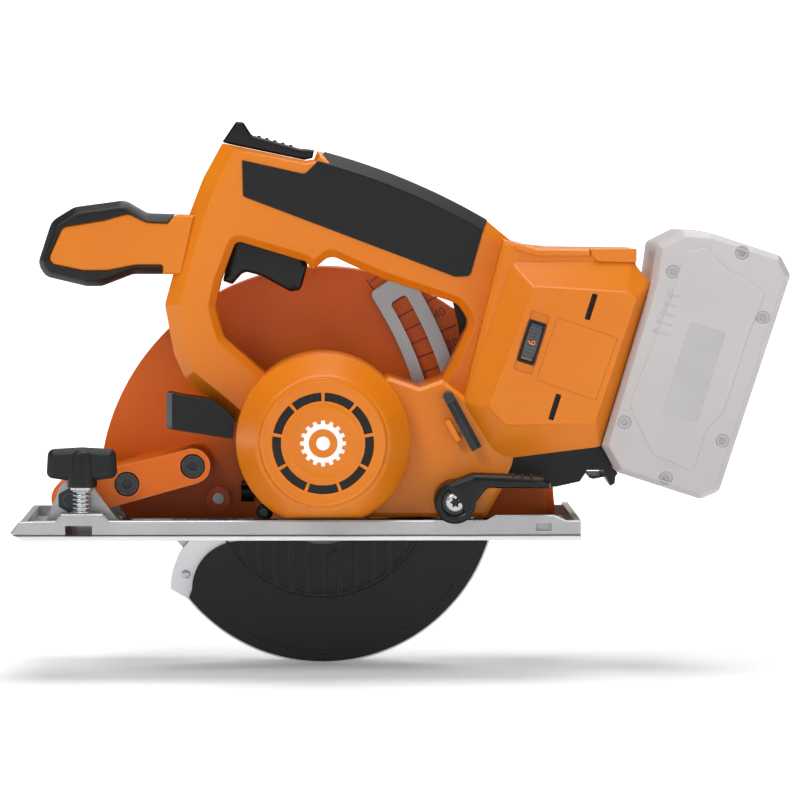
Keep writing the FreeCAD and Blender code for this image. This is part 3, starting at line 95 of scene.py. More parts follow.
@dataclass(frozen=True)
class Finish:
    """A real material with the way its surface was made.

    Each surface is the base colour, mottled a little between two tones, with a fine grain in both the bump and the
    roughness.
    """

    name: str
    colour: str
    second: str
    rough: float = 0.45
    rough_swing: float = 0.06
    metal: float = 0.0
    ior: float = 1.5
    grain_mm: float = 0.5          # size of one grain of the surface texture
    grain_mm_deep: float = 0.02    # its height
    patch_mm: float = 14.0         # size of the tone's patches
    transmission: float = 0.0
    sheen: float = 0.0
    edge_highlight_and_wear_tone: str = ""                 # paler tone of the edges: painted edge highlight, and wear
    edge_highlight_and_wear_amount: float = 0.35             # how far the edges go to that tone

    def edge_highlight_and_wear(self, tree: bpy.types.NodeTree, place: bpy.types.NodeSocket, tone: bpy.types.NodeSocket) -> bpy.types.NodeSocket:
        """Mixes a paler tone into the edges, concave as well as convex, broken up in strokes of a few millimetres: a
        painted edge highlight that also stands for wear.

        Args:
            tree: the material's nodes.
            place: coordinates.
            tone: the unworn colour.

        Returns:
            The colour with its worn edges.
        """
        # Painted highlight and wear: the mask lightens the edges wherever the bevel normal turns away from the face's
        # normal.
        faces = add(tree, "ShaderNodeNewGeometry").outputs["Normal"]
        rounder = add(tree, "ShaderNodeBevel", samples=4, Radius=0.55 * MM).outputs["Normal"]
        turn = add(tree, "ShaderNodeVectorMath", {0: faces, 1: rounder}, operation="DOT_PRODUCT")
        edge = add(tree, "ShaderNodeMapRange", {"Value": turn.outputs["Value"]}, From_Min=0.985, From_Max=0.86)
        strokes = add(tree, "ShaderNodeTexNoise", {"Vector": place}, Scale=1 / (3.5 * MM), Detail=4.0, Roughness=0.7)
        broken = add(tree, "ShaderNodeMapRange", {"Value": strokes.outputs["Fac"]}, From_Min=0.38, From_Max=0.62,
                     To_Min=0.15, To_Max=self.edge_highlight_and_wear_amount * 1.6)
        both = add(tree, "ShaderNodeMath", {0: edge.outputs["Result"], 1: broken.outputs["Result"]},
                   operation="MULTIPLY", use_clamp=True)
        return add(tree, "ShaderNodeMix", {"Factor": both.outputs[0], 6: tone}, data_type="RGBA",
                   in7=linear(self.edge_highlight_and_wear_tone)).outputs["Result"]

    def make(self) -> bpy.types.Material:
        """Builds the material once and hands it out again afterwards."""
        known = bpy.data.materials.get(self.name)
        if known:
            return known
        mat = bpy.data.materials.new(self.name)
        mat.use_nodes = True
        tree = mat.node_tree
        tree.nodes.clear()
        place = add(tree, "ShaderNodeTexCoord").outputs["Object"]
        grain = add(tree, "ShaderNodeTexNoise", {"Vector": place}, Scale=1 / (self.grain_mm * 2 * MM),
                    Detail=3.0, Roughness=0.55)
        patch = add(tree, "ShaderNodeTexNoise", {"Vector": place}, Scale=1 / (self.patch_mm * 2 * MM),
                    Detail=2.0, Roughness=0.5)
        spread = add(tree, "ShaderNodeMapRange", {"Value": patch.outputs["Fac"]}, From_Min=0.35,
                     From_Max=0.65)
        tone = add(tree, "ShaderNodeMix", {"Factor": spread.outputs["Result"]}, data_type="RGBA",
                   in6=linear(self.colour), in7=linear(self.second)).outputs["Result"]
        if self.edge_highlight_and_wear_tone:
            tone = self.edge_highlight_and_wear(tree, place, tone)
        gloss = add(tree, "ShaderNodeMapRange", {"Value": grain.outputs["Fac"]}, From_Min=0.3, From_Max=0.7,
                    To_Min=max(0.03, self.rough - self.rough_swing), To_Max=self.rough + self.rough_swing)
        bump = add(tree, "ShaderNodeBump", {"Height": grain.outputs["Fac"]}, Strength=1.0,
                   Distance=self.grain_mm_deep * MM)
        shader = add(tree, "ShaderNodeBsdfPrincipled",
                     {"Base Color": tone, "Roughness": gloss.outputs["Result"],
                      "Normal": bump.outputs["Normal"]},
                     Metallic=self.metal, Transmission_Weight=self.transmission, Sheen_Weight=self.sheen)
        if not self.metal:
            shader.inputs["IOR"].default_value = self.ior
        out = add(tree, "ShaderNodeOutputMaterial", {"Surface": shader.outputs[0]})
        out.location = (400, 0)
        mat.diffuse_color = linear(self.colour)
        return mat


# Glass-filled nylon from a spark-eroded mould: a fine even grain that spreads every highlight.
NYLON = Finish("glass_filled_nylon_moulded", "D5730D", "D97A12", rough=0.34, grain_mm=0.45,
               grain_mm_deep=0.018, ior=1.4, patch_mm=40, edge_highlight_and_wear_tone="EFA050", edge_highlight_and_wear_amount=0.4)
# Powder paint on cast magnesium: slightly darker, with a faint orange peel.
PAINTED = Finish("powder_painted_magnesium_cast", "DA6606", "D46105", rough=0.4, grain_mm=1.6,
                 grain_mm_deep=0.03, ior=1.38, patch_mm=50, edge_highlight_and_wear_tone="EFB98A", edge_highlight_and_wear_amount=0.6)
# Thermoplastic elastomer moulded over the handle: dull black that feels rubbery.
ELASTOMER = Finish("thermoplastic_elastomer_overmoulded", "090A0A", "070808", rough=0.46, grain_mm=0.4,
                   grain_mm_deep=0.03, ior=1.4, sheen=0.04, edge_highlight_and_wear_tone="3A3C3D", edge_highlight_and_wear_amount=0.3)
# Black polyamide from a polished mould: a tighter highlight than the grip's.
POLYAMIDE = Finish("black_polyamide_moulded", "070808", "0A0B0B", rough=0.36, grain_mm=0.4,
                   grain_mm_deep=0.012, ior=1.38, edge_highlight_and_wear_tone="4A4C4D", edge_highlight_and_wear_amount=0.35)
# Glass-filled black polyamide of the lower guard: duller and a little greyer.
GUARD_BLACK = Finish("glass_filled_polyamide_moulded", "0C0F10", "0A0D0E", rough=0.46, grain_mm=0.6,
                     grain_mm_deep=0.03, ior=1.4, edge_highlight_and_wear_tone="565A5C", edge_highlight_and_wear_amount=0.35)
# Die-cast aluminium, tumbled: pale grey with a soft sparkle.
CAST_ALU = Finish("die_cast_aluminium_tumbled", "AFAFB0", "A5A6A8", rough=0.38, metal=0.55, grain_mm=0.5,
                  grain_mm_deep=0.02, edge_highlight_and_wear_tone="DCDCDC", edge_highlight_and_wear_amount=0.5)
# Aluminium sheet of the lower guard: nearly white, satin.
SHEET_ALU = Finish("aluminium_sheet_polished", "E2E4E6", "DCDEE1", rough=0.34, rough_swing=0.03, metal=0.35, grain_mm=0.4,
                   grain_mm_deep=0.0015, edge_highlight_and_wear_tone="F0F0F0", edge_highlight_and_wear_amount=0.4)
# Zinc-plated steel strip: blue-grey and satin.
ZINC = Finish("steel_strip_zinc_plated", "A4ABB0", "9CA3A8", rough=0.34, metal=0.4, grain_mm=0.35,
              grain_mm_deep=0.006, edge_highlight_and_wear_tone="D0D4D8", edge_highlight_and_wear_amount=0.4)
# Ground and plated steel of the small bright parts.
BRIGHT_STEEL = Finish("steel_ground_and_plated", "C4C6C8", "B9BBBD", rough=0.26, metal=0.75, grain_mm=0.3,
                      grain_mm_deep=0.003, edge_highlight_and_wear_tone="D8D8D8", edge_highlight_and_wear_amount=0.4)
# Blackened steel: dark, oily and still metallic.
BLACK_OXIDE = Finish("steel_black_oxide", "3A3D40", "33363A", rough=0.36, metal=0.8, grain_mm=0.3,
                     grain_mm_deep=0.006, edge_highlight_and_wear_tone="8A8D90", edge_highlight_and_wear_amount=0.5)
# Grey machined steel of socket heads.
SOCKET_GREY = Finish("steel_phosphated", "55595D", "4C5054", rough=0.42, metal=0.5, grain_mm=0.3,
                     grain_mm_deep=0.006)
# Pale grey polycarbonate of the battery, matt and slightly cloudy.
PALE_PC = Finish("polycarbonate_pale_moulded", "BDB8B8", "B6B1B1", rough=0.50, grain_mm=0.5,
                 grain_mm_deep=0.012, patch_mm=35, ior=1.58, edge_highlight_and_wear_tone="DAD6D6", edge_highlight_and_wear_amount=0.4)
# The same plastic where it is tinted for windows and screw wells.
TINTED_PC = Finish("polycarbonate_tinted_moulded", "B3B1B2", "ACAAAB", rough=0.42, grain_mm=0.5,
                   grain_mm_deep=0.012, ior=1.58)
# Clear polycarbonate of the lamp's window.
CLEAR_PC = Finish("polycarbonate_clear_moulded", "DDE6EC", "D3DEE6", rough=0.08, rough_swing=0.03,
                  grain_mm=1.0, grain_mm_deep=0.004, ior=1.58, transmission=0.8)
# Printing ink, white and orange, and painted shade for the dark of engraved lines.
WHITE_INK = Finish("printing_ink_white", "F4F4F2", "ECECEA", rough=0.5, grain_mm=0.3, grain_mm_deep=0.004)
ORANGE_INK = Finish("printing_ink_orange", "E8813A", "E07830", rough=0.5, grain_mm=0.3,
                    grain_mm_deep=0.004)
GROOVE_SHADE = Finish("painted_shade_in_groove", "A35518", "9A5016", rough=0.6, grain_mm=0.3, grain_mm_deep=0.004)
# The guard's cast lines and numerals, coloured darker than the guard as painted shade, and the black of narrow joints.
CAST_RELIEF_SHADE = Finish("painted_shade_in_cast_relief", "8A3E0E", "80380C", rough=0.5, grain_mm=0.4, grain_mm_deep=0.004)
# The same black paints the shade in the lever screw's recess.
JOINT_BLACK_AND_RECESS_SHADE = Finish("dark_joint_and_painted_recess_shade", "202122", "1A1B1C", rough=0.7, grain_mm=0.4, grain_mm_deep=0.01)
# Grey acetal of the thumbwheel.
ACETAL = Finish("acetal_grey_moulded", "5A5D60", "525558", rough=0.4, grain_mm=0.3, grain_mm_deep=0.008,
                ior=1.48)
# Ground tool steel of the blade: bright with a fine grain.
BLADE_STEEL = Finish("tool_steel_ground", "A9ABAE", "9C9EA2", rough=0.26, metal=1.0, grain_mm=0.5,
                     grain_mm_deep=0.006)
# Varnished copper winding, printed board and shrink sleeve: seen only through openings.
COPPER = Finish("copper_wire_varnished", "A65A2C", "8C4520", rough=0.3, metal=0.9, grain_mm=0.6,
                grain_mm_deep=0.08)
BOARD = Finish("fibreglass_board_lacquered", "1E4A34", "173D2A", rough=0.35, grain_mm=0.8,
               grain_mm_deep=0.02, ior=1.55)
SLEEVE = Finish("shrink_film_teal", "2C6E68", "27645E", rough=0.3, grain_mm=1.2, grain_mm_deep=0.02,
                ior=1.57)


# ------------------------------------------------------------------------------------- outlines
def arc_points(x: float, z: float, radius: float, start: float, end: float, step: float = 6.0) -> Loop:
    """Points along an arc, angles in degrees from +X towards +Z.

    Args:
        x, z: centre.
        radius: radius.
        start, end: angles.
        step: largest turn between points.

    Returns:
        The points, ends included.
    """
    count = max(2, int(abs(end - start) / step) + 1)
    turns = [math.radians(start + (end - start) * k / count) for k in range(count + 1)]
    return [(x + radius * math.cos(a), z + radius * math.sin(a)) for a in turns]


def rounded(corners: Sequence[Point], step: float = 9.0) -> Loop:
    """Outline with rounded corners.

    Args:
        corners: (x, z) or (x, z, radius).
        step: largest turn between points of a rounding, in degrees.

    Returns:
        The outline's points in order.
    """
    out: Loop = []
    count = len(corners)
    for i, corner in enumerate(corners):
        here = Vector(corner[:2])
        radius = corner[2] if len(corner) > 2 else 0.0
        if radius <= 0:
            out.append((here.x, here.y))
            continue
        back = (Vector(corners[i - 1][:2]) - here)
        ahead = (Vector(corners[(i + 1) % count][:2]) - here)
        half = back.angle(ahead) / 2
        reach = min(radius / math.tan(half), 0.49 * back.length, 0.49 * ahead.length)
        radius = reach * math.tan(half)
        back.normalize()
        ahead.normalize()
        middle = (back + ahead).normalized()
        centre = here + middle * (radius / math.sin(half))
        begin = here + back * reach - centre
        finish = here + ahead * reach - centre
        turn = begin.angle_signed(finish)
        steps = max(2, int(abs(math.degrees(turn)) / step) + 1)
        for k in range(steps + 1):
            spoke = begin.copy()
            spoke.rotate(Matrix.Rotation(-turn * k / steps, 2))
            out.append(((centre + spoke).x, (centre + spoke).y))
    return out


@dataclass
class Outline:
    """Outline by its corners; it keeps its number of points however far it is moved in.

    Args:
        corners: (x, z) or (x, z, radius).
        shares: share of the inset for each edge; edge i runs from corner i to the next.
        grain: points of each rounded corner.
    """

    corners: Sequence[Point]
    shares: Optional[Sequence[float]] = None
    grain: int = 6

    def at(self, distance: float) -> Loop:
        """The outline moved in by a distance, negative for out."""
        spots = [Vector(c[:2]) for c in self.corners]
        count = len(spots)
        sign = 1 if area([tuple(s) for s in spots]) > 0 else -1
        share = self.shares or [1.0] * count
        moved, radii = [], []
        for i, here in enumerate(spots):
            u = (here - spots[i - 1]).normalized()
            v = (spots[(i + 1) % count] - here).normalized()
            one, two = Vector((-u.y, u.x)) * sign, Vector((-v.y, v.x)) * sign
            a, b = distance * share[i - 1], distance * share[i]
            cross = u.x * v.y - u.y * v.x
            if abs(cross) < 0.03:
                moved.append(here + (one * a + two * b) / 2)
            else:
                moved.append(here + (v * a - u * b) * (-sign / cross) * -1)
            radius = self.corners[i][2] if len(self.corners[i]) > 2 else 0.0
            convex = cross * sign > 0
            shrink = (a + b) / 2
            grown = radius - shrink if convex else radius + shrink
            radii.append(max(grown, min(radius, 0.35)) if radius else 0.0)
        out: Loop = []
        for i, here in enumerate(moved):
            if radii[i] <= 0:
                out.append((here.x, here.y))
                continue
            back, ahead = moved[i - 1] - here, moved[(i + 1) % count] - here
            half = back.angle(ahead) / 2
            reach = min(radii[i] / math.tan(half), 0.45 * back.length, 0.45 * ahead.length)
            radius = reach * math.tan(half)
            back.normalize()
            ahead.normalize()
            centre = here + (back + ahead).normalized() * (radius / math.sin(half))
            start = here + back * reach - centre
            turn = start.angle_signed(here + ahead * reach - centre)
            for k in range(self.grain):
                spoke = start.copy()
                spoke.rotate(Matrix.Rotation(-turn * k / (self.grain - 1), 2))
                out.append(tuple(centre + spoke))
        return out


def circle(x: float, z: float, radius: float, count: int = 48) -> Loop:
    """Points round a circle."""
    return [(x + radius * math.cos(2 * math.pi * k / count), z + radius * math.sin(2 * math.pi * k / count))
            for k in range(count)]


def turned(points: Iterable[tuple[float, float]], x: float, z: float, degrees: float) -> Loop:
    """Points turned about their own origin and then moved to (x, z)."""
    c, s = math.cos(math.radians(degrees)), math.sin(math.radians(degrees))
    return [(x + u * c - v * s, z + u * s + v * c) for u, v in points]


def oblong(x: float, z: float, length: float, width: float, degrees: float, radius: float) -> Loop:
    """Rounded rectangle whose length lies at an angle."""
    a, b = length / 2, width / 2
    return turned(rounded([(-a, -b, radius), (a, -b, radius), (a, b, radius), (-a, b, radius)]), x, z, degrees)


def area(loop: Loop) -> float:
    """Signed area of an outline."""
    return sum(a[0] * b[1] - b[0] * a[1] for a, b in zip(loop, loop[1:] + loop[:1])) / 2


def inset(loop: Loop, distance: float) -> Loop:
    """Moves an outline's points inwards along their mitres.

    Args:
        loop: points in either order.
        distance: how far in, negative for out.

    Returns:
        As many points, in the same order.
    """
    sign = 1 if area(loop) > 0 else -1
    out = []
    for i, here in enumerate(loop):
        before, after = loop[i - 1], loop[(i + 1) % len(loop)]
        one = Vector((here[0] - before[0], here[1] - before[1])).normalized()
        two = Vector((after[0] - here[0], after[1] - here[1])).normalized()
        n_one, n_two = Vector((-one.y, one.x)), Vector((-two.y, two.x))
        mitre = (n_one + n_two) / max(0.35, 1 + n_one.dot(n_two))
        share = distance * sign
        out.append((here[0] + mitre.x * share, here[1] + mitre.y * share))
    return out


def inside(point: tuple[float, float], loop: Loop) -> bool:
    """Whether a point lies in an outline."""
    hit = False
    for (x0, z0), (x1, z1) in zip(loop, loop[1:] + loop[:1]):
        if (z0 > point[1]) != (z1 > point[1]) and point[0] < (x1 - x0) * (point[1] - z0) / (z1 - z0) + x0:
            hit = not hit
    return hit


# -------------------------------------------------------------------------------------- meshes
class Side(Enum):
    """The two sides of the parting plane."""

    LEFT = -1
    RIGHT = 1


@dataclass
class Mould:
    """A mesh that grows ring by ring, in millimetres.

    Args:
        name: the piece's name.
    """

    name: str
    points: list[Point] = field(default_factory=list)
    faces: list[list[int]] = field(default_factory=list)

    def ring(self, points: Iterable[Point]) -> list[int]:
        """Adds points and returns their numbers."""
        start = len(self.points)
        self.points.extend(points)
        return list(range(start, len(self.points)))

    def level(self, loop: Loop, y: float) -> list[int]:
        """Adds an outline at one depth."""
        return self.ring([(x, y, z) for x, z in loop])

    def bridge(self, rings: Sequence[list[int]]) -> None:
        """Joins each ring to the next by quads; all have the same count."""
        for a, b in zip(rings, rings[1:]):
            for i in range(len(a)):
                j = (i + 1) % len(a)
                self.faces.append([a[i], a[j], b[j], b[i]])

    def lid(self, ring: list[int], holes: Sequence[list[int]] = ()) -> None:
        """Closes a ring, leaving holes open."""
        every = [list(ring)] + [list(h) for h in holes]
        ids = [i for loop in every for i in loop]
        flat = [Vector((self.points[i][0], self.points[i][2])) for i in ids]
        edges, at = [], 0
        for loop in every:
            n = len(loop)
            edges += [(at + k, at + (k + 1) % n) for k in range(n)]
            at += n
        made = delaunay_2d_cdt(flat, edges, [], 1, 1e-6)
        outer = [(self.points[i][0], self.points[i][2]) for i in ring]
        cuts = [[(self.points[i][0], self.points[i][2]) for i in h] for h in holes]
        depth = self.points[ring[0]][1]
        known = [ids[origin[0]] if origin else self.ring([(spot.x, depth, spot.y)])[0]
                 for spot, origin in zip(made[0], made[3])]
        for tri in made[2]:
            mid = sum((made[0][k] for k in tri), Vector((0, 0))) / 3
            if inside((mid.x, mid.y), outer) and not any(inside((mid.x, mid.y), c) for c in cuts):
                self.faces.append([known[k] for k in tri])

    def stack(self, loop: Loop | Outline, profile: Profile) -> list[list[int]]:
        """Rings of one outline through a profile of (inset, depth).

        Args:
            loop: outline.
            profile: steps from the parting plane outwards.

        Returns:
            The rings' numbers.
        """
        rings = [self.level(loop.at(step) if isinstance(loop, Outline) else inset(loop, step), y)
                 for step, y in profile]
        self.bridge(rings)
        return rings

    def relief(self, loop: Loop | Outline, profile: Profile, holes: Sequence[tuple] = ()) -> None:
        """Solid of one outline through a profile, with profiled holes.

        Args:
            loop: outer outline.
            profile: (inset, depth) steps.
            holes: (outline, profile) pairs; a hole's profile ends at the solid's last depth.
        """
        rings = self.stack(loop, profile)
        cut = [self.stack(h, [(-s, y) for s, y in p]) for h, p in holes]
        self.lid(rings[-1], [c[-1] for c in cut])
        through = [self.points[c[0][0]][1] - self.points[rings[0][0]][1] for c in cut]
        self.lid(rings[0], [c[0] for c, gap in zip(cut, through) if abs(gap) < 0.01])
        for c, gap in zip(cut, through):
            if abs(gap) >= 0.01:
                self.lid(c[0])

    def lathe(self, x: float, z: float, profile: Profile, count: int = 72, floor: float = -1e9,
              lids: bool = True) -> list[list[int]]:
        """Solid of revolution about a line along Y.

        Args:
            x, z: the axis.
            profile: (radius, depth) steps; a radius of 0 closes to a point.
            count: points round.
            floor: nothing goes below this height.
            lids: whether to close the ends.

        Returns:
            The rings' numbers.
        """
        rings = []
        for radius, y in profile:
            rings.append(self.ring([(x + radius * math.cos(2 * math.pi * k / count), y,
                                     max(floor, z + radius * math.sin(2 * math.pi * k / count)))
                                    for k in range(count)]))
        self.bridge(rings)
        if lids:
            self.lid(rings[0])
            self.lid(rings[-1])
        return rings

    def mirrored(self, side: Side) -> "Mould":
        """Turns the mesh to the right side of the parting plane if asked."""
        if side is Side.RIGHT:
            self.points = [(x, -y, z) for x, y, z in self.points]
        return self

    def swept(self, path: Sequence[Vector], section: Sequence[tuple[float, float]], up: Vector) -> None:
        """Tube of a section along a path, closed at both ends.

        Args:
            path: points in millimetres.
            section: (sideways, upwards) points.
            up: direction that the section's height keeps to.
        """
        rings = []
        for i, here in enumerate(path):
            before, after = path[max(0, i - 1)], path[min(len(path) - 1, i + 1)]
            along = (after - before).normalized()
            across = along.cross(up)
            across = across.normalized() if across.length > 1e-6 else Vector((1, 0, 0))
            high = across.cross(along)
            rings.append(self.ring([tuple(here + across * u + high * v) for u, v in section]))
        self.bridge(rings)
        self.lid_any(rings[0])
        self.lid_any(rings[-1])

    def lid_any(self, ring: list[int]) -> None:
        """Closes a ring that faces any way."""
        self.faces.append(list(ring))

    def build(self, body: str, finish: Finish, nodes: Sequence[str] = (), slot: str = "",
              angle: float = 28.0) -> bpy.types.Object:
        """Makes the Blender object, dresses it and lets it ride on its body.

        Args:
            body: name of the CAD body.
            finish: its material.
            nodes: CAD nodes that it stands for.
            slot: the record's material slot; not used.
            angle: edges sharper than this stay crisp.

        Returns:
            The object.
        """
        mesh = bpy.data.meshes.new(self.name)
        mesh.from_pydata([tuple(c * MM for c in p) for p in self.points], [], self.faces)
        work = bmesh.new()
        work.from_mesh(mesh)
        bmesh.ops.remove_doubles(work, verts=work.verts, dist=2e-6)
        bmesh.ops.dissolve_degenerate(work, edges=work.edges, dist=2e-6)
        bmesh.ops.recalc_face_normals(work, faces=work.faces)
        for f in work.faces:
            f.smooth = True
        limit = math.radians(angle)
        for e in work.edges:
            e.smooth = not (len(e.link_faces) == 2 and e.calc_face_angle(0) > limit)
        work.to_mesh(mesh)
        work.free()
        obj = bpy.data.objects.new(self.name, mesh)
        bpy.context.scene.collection.objects.link(obj)
        mesh.materials.append(finish.make())
        crisp = obj.modifiers.new("flat_faces_stay_flat", "WEIGHTED_NORMAL")
        crisp.keep_sharp = True
        crisp.weight = 90
        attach(obj, body)
        if nodes:
            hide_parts(*nodes)
        LOG.info("%s: %d faces", self.name, len(mesh.polygons))
        return obj


def soften(obj: bpy.types.Object, width: float, angle: float = 28.0, segments: int = 2) -> None:
    """Rounds an object's sharp edges a little.

    Args:
        obj: the piece.
        width: width in millimetres.
        angle: sharpest edge left alone.
        segments: segments of the rounding.
    """
    mod = obj.modifiers.new("soft_edges", "BEVEL")
    mod.width = width * MM
    mod.segments = segments
    mod.limit_method = "ANGLE"
    mod.angle_limit = math.radians(angle)
    mod.harden_normals = True
    mod.use_clamp_overlap = True


def carried(node: str, finish: Finish, bevel: float = 0.25) -> None:
    """Dresses a CAD node that keeps its own shape.

    Args:
        node: its name.
        finish: its material.
        bevel: width of its softened edges in millimetres.
    """
    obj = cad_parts[node]
    mat = finish.make()
    if obj.material_slots:
        for s in obj.material_slots:
            s.material = mat
    else:
        obj.data.materials.append(mat)
    flat = obj.modifiers.new("merge_flat_faces", "DECIMATE")
    flat.decimate_type = "DISSOLVE"
    flat.angle_limit = math.radians(0.6)
    if bevel:
        soften(obj, bevel, 32.0, 2)
    LOG.info("%s: carried over as %s", node, finish.name)


def through(a: Point, m: Point, b: Point, count: int = 12) -> list[Point]:
    """Points of the arc from a to b that passes through m, ends included."""
    ax, az = a[0] - m[0], a[1] - m[1]
    bx, bz = b[0] - m[0], b[1] - m[1]
    d = 2 * (ax * bz - az * bx)
    aa, bb = ax * ax + az * az, bx * bx + bz * bz
    cx, cz = m[0] + (bz * aa - az * bb) / d, m[1] + (ax * bb - bx * aa) / d
    radius = math.hypot(a[0] - cx, a[1] - cz)
    start = math.atan2(a[1] - cz, a[0] - cx)
    turn = math.atan2(b[1] - cz, b[0] - cx) - start
    turn = (turn + math.pi) % (2 * math.pi) - math.pi
    return [(cx + radius * math.cos(start + turn * k / count), cz + radius * math.sin(start + turn * k / count))
            for k in range(count + 1)]


def dense(loop: Loop, step: float) -> Loop:
    """Outline with its long edges parted into short ones."""
    out = []
    for a, b in zip(loop, loop[1:] + loop[:1]):
        parts = max(1, math.ceil(math.dist(a, b) / step))
        out += [(a[0] + (b[0] - a[0]) * k / parts, a[1] + (b[1] - a[1]) * k / parts) for k in range(parts)]
    return out


# ------------------------------------------------------------------------------------- housing
TILT = 17.4               # lean of the battery seat from the vertical
SPINDLE_Z = 18.0
MOTOR_Z = 46.0
TOP_ARC = through((0.8, 179.6), (39.5, 166.4), (77.2, 147.6))


def guard_edge(z: float) -> float:
    """Rear edge of the room that the guard and its scale plate take, in millimetres."""
    disc = math.sqrt(max(0.0, 108.3 ** 2 - (z - SPINDLE_Z) ** 2))
    lobe = math.sqrt(max(0.0, 202.3 ** 2 - (z - SPINDLE_Z) ** 2)) - 118
    return max(disc, lobe)


@dataclass
class Housing:
    """Two moulded halves with the sleeve of the motor, the skirt and the electronics box.

    Sizes are in millimetres.
    """

    handle_half: float = 17.0
    bevel: float = 5.2
    box_half: float = 34.0
    pod_half: float = 42.0
    sleeve_r: float = 40.5
    seam: float = 0.12
    lock_room: float = -2.5       # the far skirt starts behind the spindle lock's pin
    frame_line: tuple = ((-47.2, 184.1, 1.5), (-8.0, 175.9), (-4.2, 176.4), (-2.4, 180.4), *TOP_ARC,
                         (90.0, 137.0, 12), (118.0, 134.0), (112.0, 60.0), (62.0, 40.0), (0.0, 34.0),
                         (-36.0, 49.6), (-52.1, 63.1, 5), (-65.0, 73.6, 6), (-70.0, 85.0, 6),
                         (-74.4, 108.0, 8), (-70.7, 121.5), (-63.0, 150.0, 20), (-56.3, 167.5, 20))
    loop_line: tuple = ((-48.0, 119.0), (-50.6, 107.0, 5), (-46.6, 92.8, 6), (-28.8, 77.2), (-10.0, 60.0),
                        (15.0, 60.0), (31.0, 74.3), (43.5, 69.8, 12), (53.0, 69.0, 8), (60.0, 80.5),
                        (69.0, 100.0, 6), (63.5, 108.6, 9), (28.3, 120.4), (12.4, 127.3, 8),
                        (3.5, 131.6, 6), (-4.5, 124.6, 1), (-8.4, 128.6), (-40.8, 138.4, 3))
    skirt_line: tuple = ((-8.0, 9.6), (76.0, 9.6, 3), (83.4, 22.5), (88.0, 33.5), (92.0, 50.0), (66.0, 66.0),
                         (56.0, 74.0), (45.0, 70.2), (31.0, 75.0), (0.0, 60.0), (-8.0, 40.0))
    box_line: tuple = ((84.0, 139.4), (100.0, 135.0), (146.0, 134.4), (146.0, 127.2, 2), (152.8, 118.5),
                       (129.4, 42.5), (83.0, 37.0, 4), (65.0, 62.8))
    pod_out: tuple = ((88.5, 128.8), (144.0, 129.1), (152.8, 118.5), (129.4, 42.5), (84.5, 36.9),
                      (79.0, 40.2), (65.0, 62.8))
    pod_in: tuple = ((98.2, 117.4), (142.0, 114.6), (145.6, 111.5), (126.3, 54.2), (90.0, 53.2),
                     (84.6, 53.6), (77.0, 61.7))
    vents: tuple = ((124.6, 108.0), (107.8, 61.4))

    def handle(self, side: Side) -> None:
        """Loop-shaped handle with broad bevels."""
        mould = Mould("handle_%s" % side.name.lower())
        edge, half = self.bevel, self.handle_half
        outer = [(0, -self.seam), (0, -9.6), (0.16, -10.1), (0.5, -10.55), (edge - 0.35, -half + 0.45),
                 (edge + 0.1, -half + 0.1), (edge + 0.7, -half)]
        inner = [(0, -self.seam), (0, -12.9), (0.14, -13.3), (0.45, -13.7), (3.1, -half + 0.4),
                 (3.5, -half + 0.1), (4.0, -half)]
        share = [1.0] * len(self.frame_line)
        share[0:4] = [0.35, 0.35, 0.35, 0.35]
        share[-5:] = [1.35, 1.35, 1.35, 1.35, 1.35]
        mould.relief(Outline(self.frame_line, share), outer, [(Outline(self.loop_line), inner)])
        mould.mirrored(side).build("saw", NYLON, nodes=["housing_" + side.name.lower()], slot="orange_plastic")

    def skirt(self, side: Side) -> None:
        """Skirt round the clamp bolt, beside the motor."""
        mould = Mould("skirt_%s" % side.name.lower())
        half = 35.0 if side is Side.LEFT else 20.0
        line = self.skirt_line
        if side is Side.RIGHT:
            line = [(max(corner[0], self.lock_room), *corner[1:]) for corner in line]
        mould.relief(Outline(line), [(0, -0.1), (0, -half + 2.2), (0.2, -half + 1.7),
                                                (1.7, -half + 0.2), (2.2, -half)])
        mould.mirrored(side).build("saw", NYLON, slot="orange_plastic")

    def sleeve(self) -> None:
        """Round sleeve of the motor, with the parting groove before its cap."""
        mould = Mould("motor_sleeve")
        r = self.sleeve_r
        profile = [(r, 5.8), (r, -37.0), (r - 0.5, -37.4), (r - 0.9, -38.0), (r - 2.4, -38.0), (r - 2.6, -20.0)]
        mould.lathe(0, MOTOR_Z, profile, 96, floor=10.0)
        mould.build("saw", NYLON, slot="orange_plastic")

    def box(self, side: Side) -> None:
        """Box of the electronics: on the guard's side it stops short of the guard."""
        mould = Mould("box_%s" % side.name.lower())
        loop = dense(rounded(self.box_line), 3)
        rows = [(0, -0.1), (0, -20.4), (0, -20.41), (0, -31.4), (0.4, -32.6), (2.0, -33.8), (2.6, -34.0)]
        rings = mould.stack(loop, rows)
        if side is Side.RIGHT:
            for ring in rings[2:]:
                self.clear_guard(mould, ring)
        mould.lid(rings[0])
        mould.lid(rings[-1])
        mould.mirrored(side).build("saw", NYLON, slot="orange_plastic")

    @staticmethod
    def clear_guard(mould: Mould, ring: list[int]) -> None:
        """Moves points out of the guard's room."""
        for i in ring:
            x, y, z = mould.points[i]
            mould.points[i] = (max(x, guard_edge(z)), y, z)

